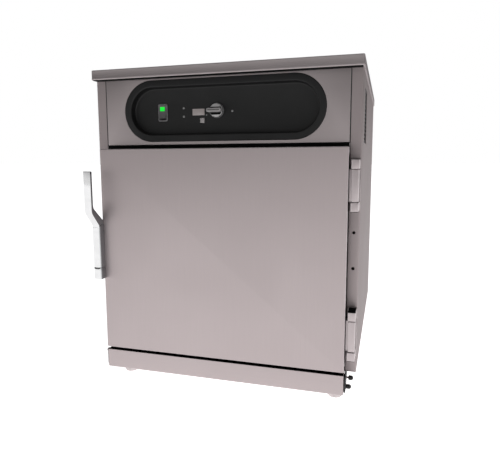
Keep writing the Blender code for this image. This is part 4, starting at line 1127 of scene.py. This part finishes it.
print("making the trough and feet")
low, high = corners("drip_trough")
backCut = slab((-0.310, high[1] - 0.004, 0.0780), (0.310, high[1] + 0.003, high[2] + 0.004), "front", 0.003,
               0.0001)
screwAt = {}
for sideName in ("left", "right"):
    for level in ("upper", "lower"):
        entry = joint[f"trough_knob_{sideName}_{level}_turn"]
        screwAt[(sideName, level)] = np.array(entry["pos_m"])
slots = []
for (sideName, level), at in screwAt.items():
    sign = -1 if sideName == "left" else 1
    ends = sorted((sign * (high[0] - 0.003), sign * (high[0] + 0.002)))
    slots.append(slab((ends[0], at[1] - 0.004, at[2] - 0.0033), (ends[1], high[1] + 0.003, at[2] + 0.0033),
                      "right", 0.0030, 0.0001))
# painted shade: a matte black shallow dish inside the trough stands in for the shade in its deep inside; its
# outline is carried up its rim, over and down to the middle
dishLow, dishHigh = low + (0.0016, 0.0016, 0.0360), high - (0.0016, 0.0016, 0.0012)
dishTall = dishHigh[2] - dishLow[2]
dish = [(0.0004, 0), (0, 0.0006), (0, dishTall - 0.0008), (0.0008, dishTall), (0.0018, dishTall - 0.0006),
        (0.0030, 0.0030),
        (0.0050, 0.0016), (0.0100, 0.0014)]
piece("trough_insert", [rectShell(dishLow, dishHigh, "top", 0.002, dish)], matteBlack, "drip_trough")
piece("trough_pan", [pan(low, high, "bottom", 0.0022, 0.0022, 0.0012, 7)], steel, "drip_trough",
      ["drip_trough"],
      holes=[backCut, *slots])

bracket = {"plate": (0.3175, 0.3205), "flange": (0.3110, 0.3190)}
for sideName, sign in (("left", -1), ("right", 1)):
    node = f"trough_bracket_{sideName}"
    low, high = corners(node)
    plateX, flangeX = (sorted(sign * end for end in bracket[part]) for part in ("plate", "flange"))
    side = [(low[1], high[2]), (low[1], low[2]), (low[1] + 0.036, low[2]), (high[1], high[2] - 0.012),
            (high[1], high[2])]
    side = filleted(side, [0.002, 0.006, 0.008, 0.004, 0.001], 6)
    shells = [
        plate(side, plateX[0], plateX[1], "right", 0.0005),
        slab((flangeX[0], frontY + 0.0040, high[2] - 0.0026), (flangeX[1], high[1], high[2]), "top", 0.001,
             0.0004),
    ]
    piece(f"bracket_{sideName}", shells, blackPaint, "cabinet", [node])
    for level in ("upper", "lower"):
        at = screwAt[(sideName, level)]
        name = f"trough_knob_{sideName}_{level}"
        head = [
            (0, 0.0115), (0.0014, 0.0114, 0), (0.0028, 0.0110, 0), (0.0040, 0.0102, 0.3),
            (0.0049, 0.0090, 1), (0.0054, 0.0074, 1),
            (0.0056, 0.0058, 1), (0.0056, 0.0016, 1), (0.0053, 0.0006, 0.6), (0.0046, 0.0001, 0),
            (0.0026, 0.0001, 0), (0, 0.0001),
        ]
        head = withFlutes(head)
        grip = lathe(head, at, (sign, 0, 0), 72, 12, 0.0007, [0, 0.1, 0.3, 0.6, 0.4, 0.3, 0.3, 0.6, 0.3, 0])
        piece(f"thumb_screw_{sideName}_{level}", [grip], blackPlastic, name, [name])
        inside = 0.3140 - abs(at[0])
        rod = [(0, 0.0002), (0.0022, 0.0002, 0)]
        threads = np.linspace(0, 1, 13)[1:]
        for share in threads:
            rod += [(0.0025, inside * (share - 0.04), 0), (0.0021, inside * share, 0)]
        shank = lathe([(r[0], r[1], 0) for r in rod + [(0, inside)]], at, (sign, 0, 0), 20)
        piece(f"screw_shank_{sideName}_{level}", [shank], castMetal, name)
        if level == "lower":
            # stepped collar between the bracket and the head
            reach = 0.3206 - abs(at[0])
            collar = lathe([(0, 0.0006), (0.0046, 0.0006), (0.0058, reach * 0.5), (0.0076, reach * 0.90),
                            (0.0072, reach), (0, reach)],
                           at, (sign, 0, 0), 36)
            piece(f"screw_collar_{sideName}", [collar], blackPlastic, name)

legRadius = 0.0195
for node in ("foot_front_left", "foot_front_right", "foot_rear_left", "foot_rear_right"):
    low, high = corners(node)
    at = ((low[0] + high[0]) / 2, (low[1] + high[1]) / 2, 0)
    tall = high[2]
    profile = [
        (0, tall), (0.0130, tall), (legRadius - 0.0003, tall), (legRadius, tall - 0.0006),
        (legRadius, tall - 0.0200), (legRadius - 0.0009, tall - 0.0212), (legRadius - 0.0009, tall - 0.0224),
        (legRadius, tall - 0.0236), (legRadius, 0.0122), (0.0193, 0.0090), (0.0188, 0.0050), (0.0184, 0.0030),
        (0.0178, 0.0012), (0.0166, 0.0), (0, 0.0),
    ]
    wear = [0, 0.3, 0.6, 0.2, 0.4, 0, 0, 0.4, 0.4, 0.8, 0.6, 0.4, 0.4]
    piece(node.replace("foot", "leg"), [lathe(profile, at, (0, 0, 1), 48, wear=wear)], footMetal, "cabinet",
          [node])

low, high = corners("cable_gland")
glandAt = np.array(((low[0] + high[0]) / 2, 0.776 + frontY, (low[2] + high[2]) / 2))
glandFlute = 0.0007
glandProfile = [
    (0.0044, 0.0136, 0), (0.0068, 0.0140, 0), (0.0092, 0.0138, 0), (0.0112, 0.0126, 0), (0.0118, 0.0100, 1),
    (0.0122, 0.0050, 1),
    (0.0126, 0.0046, 0), (0.0138, 0.0044, 0), (0.0140, 0.0038, 0), (0.0140, 0.0008, 0), (0.0137, 0.0003, 0),
    (0.0100, 0.0003, 0),
    (0.0100, -0.0120, 0), (0.0044, -0.0120, 0),
]
angle = np.linspace(0, tau, 96, endpoint=False)
# radius = profile radius - flute * |sin(8 angle)| on the grip
glandRadius, glandStand, fluted = np.array(glandProfile).T[:, :, None]
radius = glandRadius - glandFlute * fluted * np.abs(np.sin(8 * angle))
stand = glandStand * np.ones_like(radius)
glandRings = np.stack([glandAt[0] + radius * np.cos(angle), glandAt[1] + stand,
                       glandAt[2] + radius * np.sin(angle)], axis=-1)
piece("cable_gland_nut", [shell(glandRings, np.zeros(len(radius)), loop=True)], blackPlastic, "cabinet",
      ["cable_gland"])
low, high = corners("back_panel")
shells = []
for x in (-0.305, 0.0, 0.305):
    for z in (0.105, 0.440, 0.780):
        shells.append(dome(0.0042, 0.0022, (x, high[1] - 0.0001, z), (0, 1, 0)))
piece("back_screws", shells, castMetal, "cabinet")

print("making the cavity")
low, high = corners("liner_shell")
outerX, wall, bottom, top = high[0], 0.0012, low[2], high[2]
liner = [(-outerX, bottom), (-outerX, top), (outerX, top), (outerX, bottom), (outerX - wall, bottom),
         (outerX - wall, top - wall),
         (wall - outerX, top - wall), (wall - outerX, bottom)]
liner = filleted(liner, [0.0005, 0.0142, 0.0142, 0.0005, 0.0005, 0.0130, 0.0130, 0.0005], 8)
piece("cavity_walls", [plate(liner, -high[1], -low[1], "front", 0.0002)], steelInside, "cabinet",
      ["liner_shell"])
low, high = corners("liner_floor")
piece("cavity_floor", [slab(low, high, "top", 0.003, 0.0004)], steelInside, "cabinet", ["liner_floor"])

rack = {"sheet": 0.0015, "pitch": 0.070, "first": 0.190, "levels": 6, "shelfX": 0.2405, "wallX": 0.2625}
for sideName, sign in (("left", -1), ("right", 1)):
    node = f"rack_{sideName}"
    low, high = corners(node)
    outerX = max(abs(low[0]), abs(high[0]))
    comb = [(outerX, low[2]), (outerX, high[2]), (rack["wallX"], high[2])]
    radii = [0.0005, 0.0005, 0.0005]
    for level in reversed(range(rack["levels"])):
        z = rack["first"] + rack["pitch"] * level
        comb += [(rack["wallX"], z), (rack["shelfX"], z), (rack["shelfX"], z - rack["sheet"]),
                 (rack["wallX"], z - rack["sheet"])]
        radii += [0.0010, 0.0006, 0.0006, 0.0010]
    comb.append((rack["wallX"], low[2]))
    radii.append(0.0005)
    comb = filleted(comb, radii, 4) * (sign, 1)
    holes = []
    for level in range(rack["levels"]):
        z = rack["first"] + rack["pitch"] * level + rack["pitch"] * 0.42
        if z + 0.016 > high[2]:
            continue
        for y in (0.110, 0.230, 0.350, 0.470, 0.590):
            ends = sorted((sign * (rack["wallX"] - 0.004), sign * (outerX + 0.004)))
            holes.append(((ends[0], frontY + y - 0.030, z - 0.007), (ends[1], frontY + y + 0.030, z + 0.007)))
    cutters = [slab(a, b, "right", 0.0065, 0.0001) for a, b in holes]
    allSlots = joined(cutters)
    piece(f"rack_rails_{sideName}", [plate(comb, -high[1], -low[1], "front", 0.0002)], steelInside,
          "cabinet", [node],
          holes=[allSlots])

shelf = {"rim": 0.0019, "rail": 0.0016, "wire": 0.0011, "wires": 23}
for name in ("lower", "upper"):
    node = f"shelf_{name}"
    low, high = corners(node)
    rim = shelf["rim"]
    width, length = high[0] - low[0] - 2 * rim, high[1] - low[1] - 2 * rim
    middle = (low + high) / 2
    loop = roundedRect(width, length, 0.012, 6)
    loop = np.column_stack([loop + middle[:2], np.full(len(loop), low[2] + rim)])
    shells = [carried(loop, roundSection(rim, 10), (0, 0, 1), closed=True)]
    for x in (-0.16, 0.0, 0.16):
        shells.append(wire([(x, low[1] + rim, low[2] + shelf["rail"]),
                            (x, high[1] - rim, low[2] + shelf["rail"])], shelf["rail"]))
    for y in np.linspace(low[1] + 0.024, high[1] - 0.024, shelf["wires"]):
        shells.append(wire([(low[0] + rim, y, high[2] - shelf["wire"]),
                            (high[0] - rim, y, high[2] - shelf["wire"])], shelf["wire"]))
    piece(f"wire_{node}", shells, wireChrome, "cabinet", [node])

heater = {"height": 0.146, "bend": 0.035, "radius": 0.004}
heaterRoute = np.array([
    (-0.050, 0.7025), (-0.050, 0.630), (-0.190, 0.630), (-0.190, 0.130), (-0.065, 0.130), (-0.065, 0.520),
    (0.065, 0.520), (0.065, 0.130), (0.190, 0.130), (0.190, 0.630), (0.050, 0.630), (0.050, 0.7025),
])
route = np.column_stack([heaterRoute[:, 0], frontY + heaterRoute[:, 1],
                         np.full(len(heaterRoute), heater["height"])])
route = filleted(route, heater["bend"], 10, closed=False)
piece("heater_coil", [carried(route, roundSection(heater["radius"], 14), (0, 0, 1))], heaterSheath, "cabinet",
      ["heating_element"])

low, high = corners("fan_guard")
guard = {"slots": 9, "lowest": 0.3885, "pitch": 0.015, "halfWidth": 0.070, "halfTall": 0.0045}
guardSlots = []
for k in range(guard["slots"]):
    z = guard["lowest"] + guard["pitch"] * k
    slotLow = (-guard["halfWidth"], low[1] - 0.004, z - guard["halfTall"])
    slotHigh = (guard["halfWidth"], low[1] + 0.004, z + guard["halfTall"])
    guardSlots.append(slab(slotLow, slotHigh, "front", 0.0042, 0.0001))
piece("fan_cover", [pan(low, high, "front", 0.008, 0.003, 0.0012, 6)], steelInside, "cabinet", ["fan_guard"],
      holes=guardSlots)
low, high = corners("fan_impeller")
fanAt = np.array(joint["fan_spin"]["pos_m"])
fanBack = frontY + 0.700
hub = lathe([(0, 0.0240), (0.0105, 0.0240), (0.0125, 0.0232), (0.0138, 0.0210), (0.0142, 0.0030),
             (0.0160, 0.0016),
             (0.0590, 0.0016), (0.0600, 0.0010), (0.0600, 0.0002), (0.0040, 0.0), (0.0040, -0.0080),
             (0, -0.0080)],
            (fanAt[0], fanBack, fanAt[2]), (0, -1, 0), 48)
shells = [hub]
fan = {"blades": 8, "inner": 0.0135, "reach": 0.0430, "sweep": 0.55, "half": 0.0006, "deep": 0.0215}
# blade: radius = inner + reach t, angle = start + sweep t, t from 0 to 1
share = np.linspace(0, 1, 9)
bladeSection = [(-fan["half"], 0), (fan["half"], 0), (fan["half"], fan["deep"]), (-fan["half"], fan["deep"])]
for k in range(fan["blades"]):
    angle = tau * k / fan["blades"] + fan["sweep"] * share
    radius = fan["inner"] + fan["reach"] * share
    bladeY = np.full(len(share), fanBack - 0.0012)
    path = np.stack([fanAt[0] + radius * np.cos(angle), bladeY, fanAt[2] + radius * np.sin(angle)], axis=1)
    shells.append(carried(path, bladeSection, (0, -1, 0)))
piece("impeller", shells, steelInside, "fan", ["fan_impeller"])

print("setting the stage")
stageLook = {"floorSize": 400.0, "floorTone": 0.82, "floorGlow": 1.13, "horizon": 0.08, "zenith": 0.02,
             "band": (0.05, 0.15),
             "overhead": (0.70, 0.95, 0.28)}
floorMesh = bpy.data.meshes.new("studio_floor")
extent = stageLook["floorSize"]
floorMesh.from_pydata([(-extent, -extent, -0.0005), (extent, -extent, -0.0005), (extent, extent, -0.0005),
                       (-extent, extent, -0.0005)], [], [(0, 1, 2, 3)])
floorObject = bpy.data.objects.new("studio_floor", floorMesh)
bpy.context.scene.collection.objects.link(floorObject)
floorLook, g, shader, place = startMaterial("studio floor", 0.0)
tone = g.noise(place, 0.8, 2.0)
g.join(g.mix(g.math("MULTIPLY", tone, 0.04), (stageLook["floorTone"],) * 3, (0.78, 0.78, 0.78)),
       shader.inputs["Base Color"])
shader.inputs["Roughness"].default_value = 0.9
shader.inputs["Specular IOR Level"].default_value = 0.1
shader.inputs["Emission Color"].default_value = (1, 1, 1, 1)
shader.inputs["Emission Strength"].default_value = stageLook["floorGlow"]
floorMesh.materials.append(floorLook)

world = bpy.data.worlds.new("studio")
bpy.context.scene.world = world
world.use_nodes = True
g = Graph(world.node_tree)
background = world.node_tree.nodes["Background"]
direction = g.add("ShaderNodeSeparateXYZ")
g.join(g.add("ShaderNodeTexCoord").outputs["Generated"], direction.inputs[0])
height = g.spread(direction.outputs["Z"], 0.0, 0.8, 0.0, 1.0)
sky = g.mix(height, (stageLook["horizon"],) * 3, (stageLook["zenith"],) * 3)
sky = g.mix(g.spread(direction.outputs["Z"], *stageLook["band"], 0.9, 0.0), sky, (1.0, 1.0, 1.0))
start, end, glow = stageLook["overhead"]
sky = g.mix(g.spread(direction.outputs["Z"], start, end, 0.0, glow), sky, (1.0, 1.0, 1.0))
seen = g.add("ShaderNodeLightPath").outputs["Is Camera Ray"]
g.join(g.mix(seen, sky, (1.0, 1.0, 1.0)), background.inputs["Color"])


def softLight(name, power, size, at, aim):
    light = bpy.data.lights.new(name, "AREA")
    light.energy = power
    light.shape = "RECTANGLE"
    light.size, light.size_y = size
    made = bpy.data.objects.new(name, light)
    bpy.context.scene.collection.objects.link(made)
    away = np.array(at, float) - np.array(aim, float)
    away /= np.linalg.norm(away)
    across = np.cross((0, 0, 1), away)
    across /= np.linalg.norm(across)
    up = np.cross(away, across)
    made.matrix_world = Matrix([(*row, place) for row,
                                place in zip(np.stack([across, up, away], axis=1).tolist(), at)] + [(0, 0,
                                                                                                     0, 1)])
    return made


lights = {
    "key": (2.5, (2.0, 1.6), (0.3, -2.9, 2.6), (0, 0, 0.4)),
    "fill": (2.0, (2.0, 2.0), (2.6, -1.6, 1.8), (0, 0, 0.4)),
    "back": (5, (2.0, 1.2), (0.5, 2.6, 2.0), (0, 0, 0.5)),
}
for name, (power, size, at, aim) in lights.items():
    softLight(name, power, size, at, aim)

view = {"at": (0.3994, -1.4808, 0.5874), "yaw": 15.953, "pitch": -7.275, "roll": -0.122, "lens": 34.27}
yaw, pitch, roll = (math.radians(view[key]) for key in ("yaw", "pitch", "roll"))
forward = np.array([-math.sin(yaw) * math.cos(pitch), math.cos(yaw) * math.cos(pitch), math.sin(pitch)])
level = np.array([math.cos(yaw), math.sin(yaw), 0.0])
upright = np.cross(level, forward)
across = math.cos(roll) * level + math.sin(roll) * upright
up = -math.sin(roll) * level + math.cos(roll) * upright
cameraData = bpy.data.cameras.new("camera")
cameraData.lens = view["lens"]
cameraData.sensor_width = 36.0
cameraData.clip_start = 0.05
cameraData.clip_end = 2000.0
camera = bpy.data.objects.new("camera", cameraData)
bpy.context.scene.collection.objects.link(camera)
axes = np.stack([across, up, -forward], axis=1).tolist()
camera.matrix_world = Matrix([(*row, place) for row, place in zip(axes, view["at"])] + [(0, 0, 0, 1)])
bpy.context.scene.camera = camera
bpy.context.scene.view_settings.view_transform = "Standard"

bpy.context.view_layer.update()
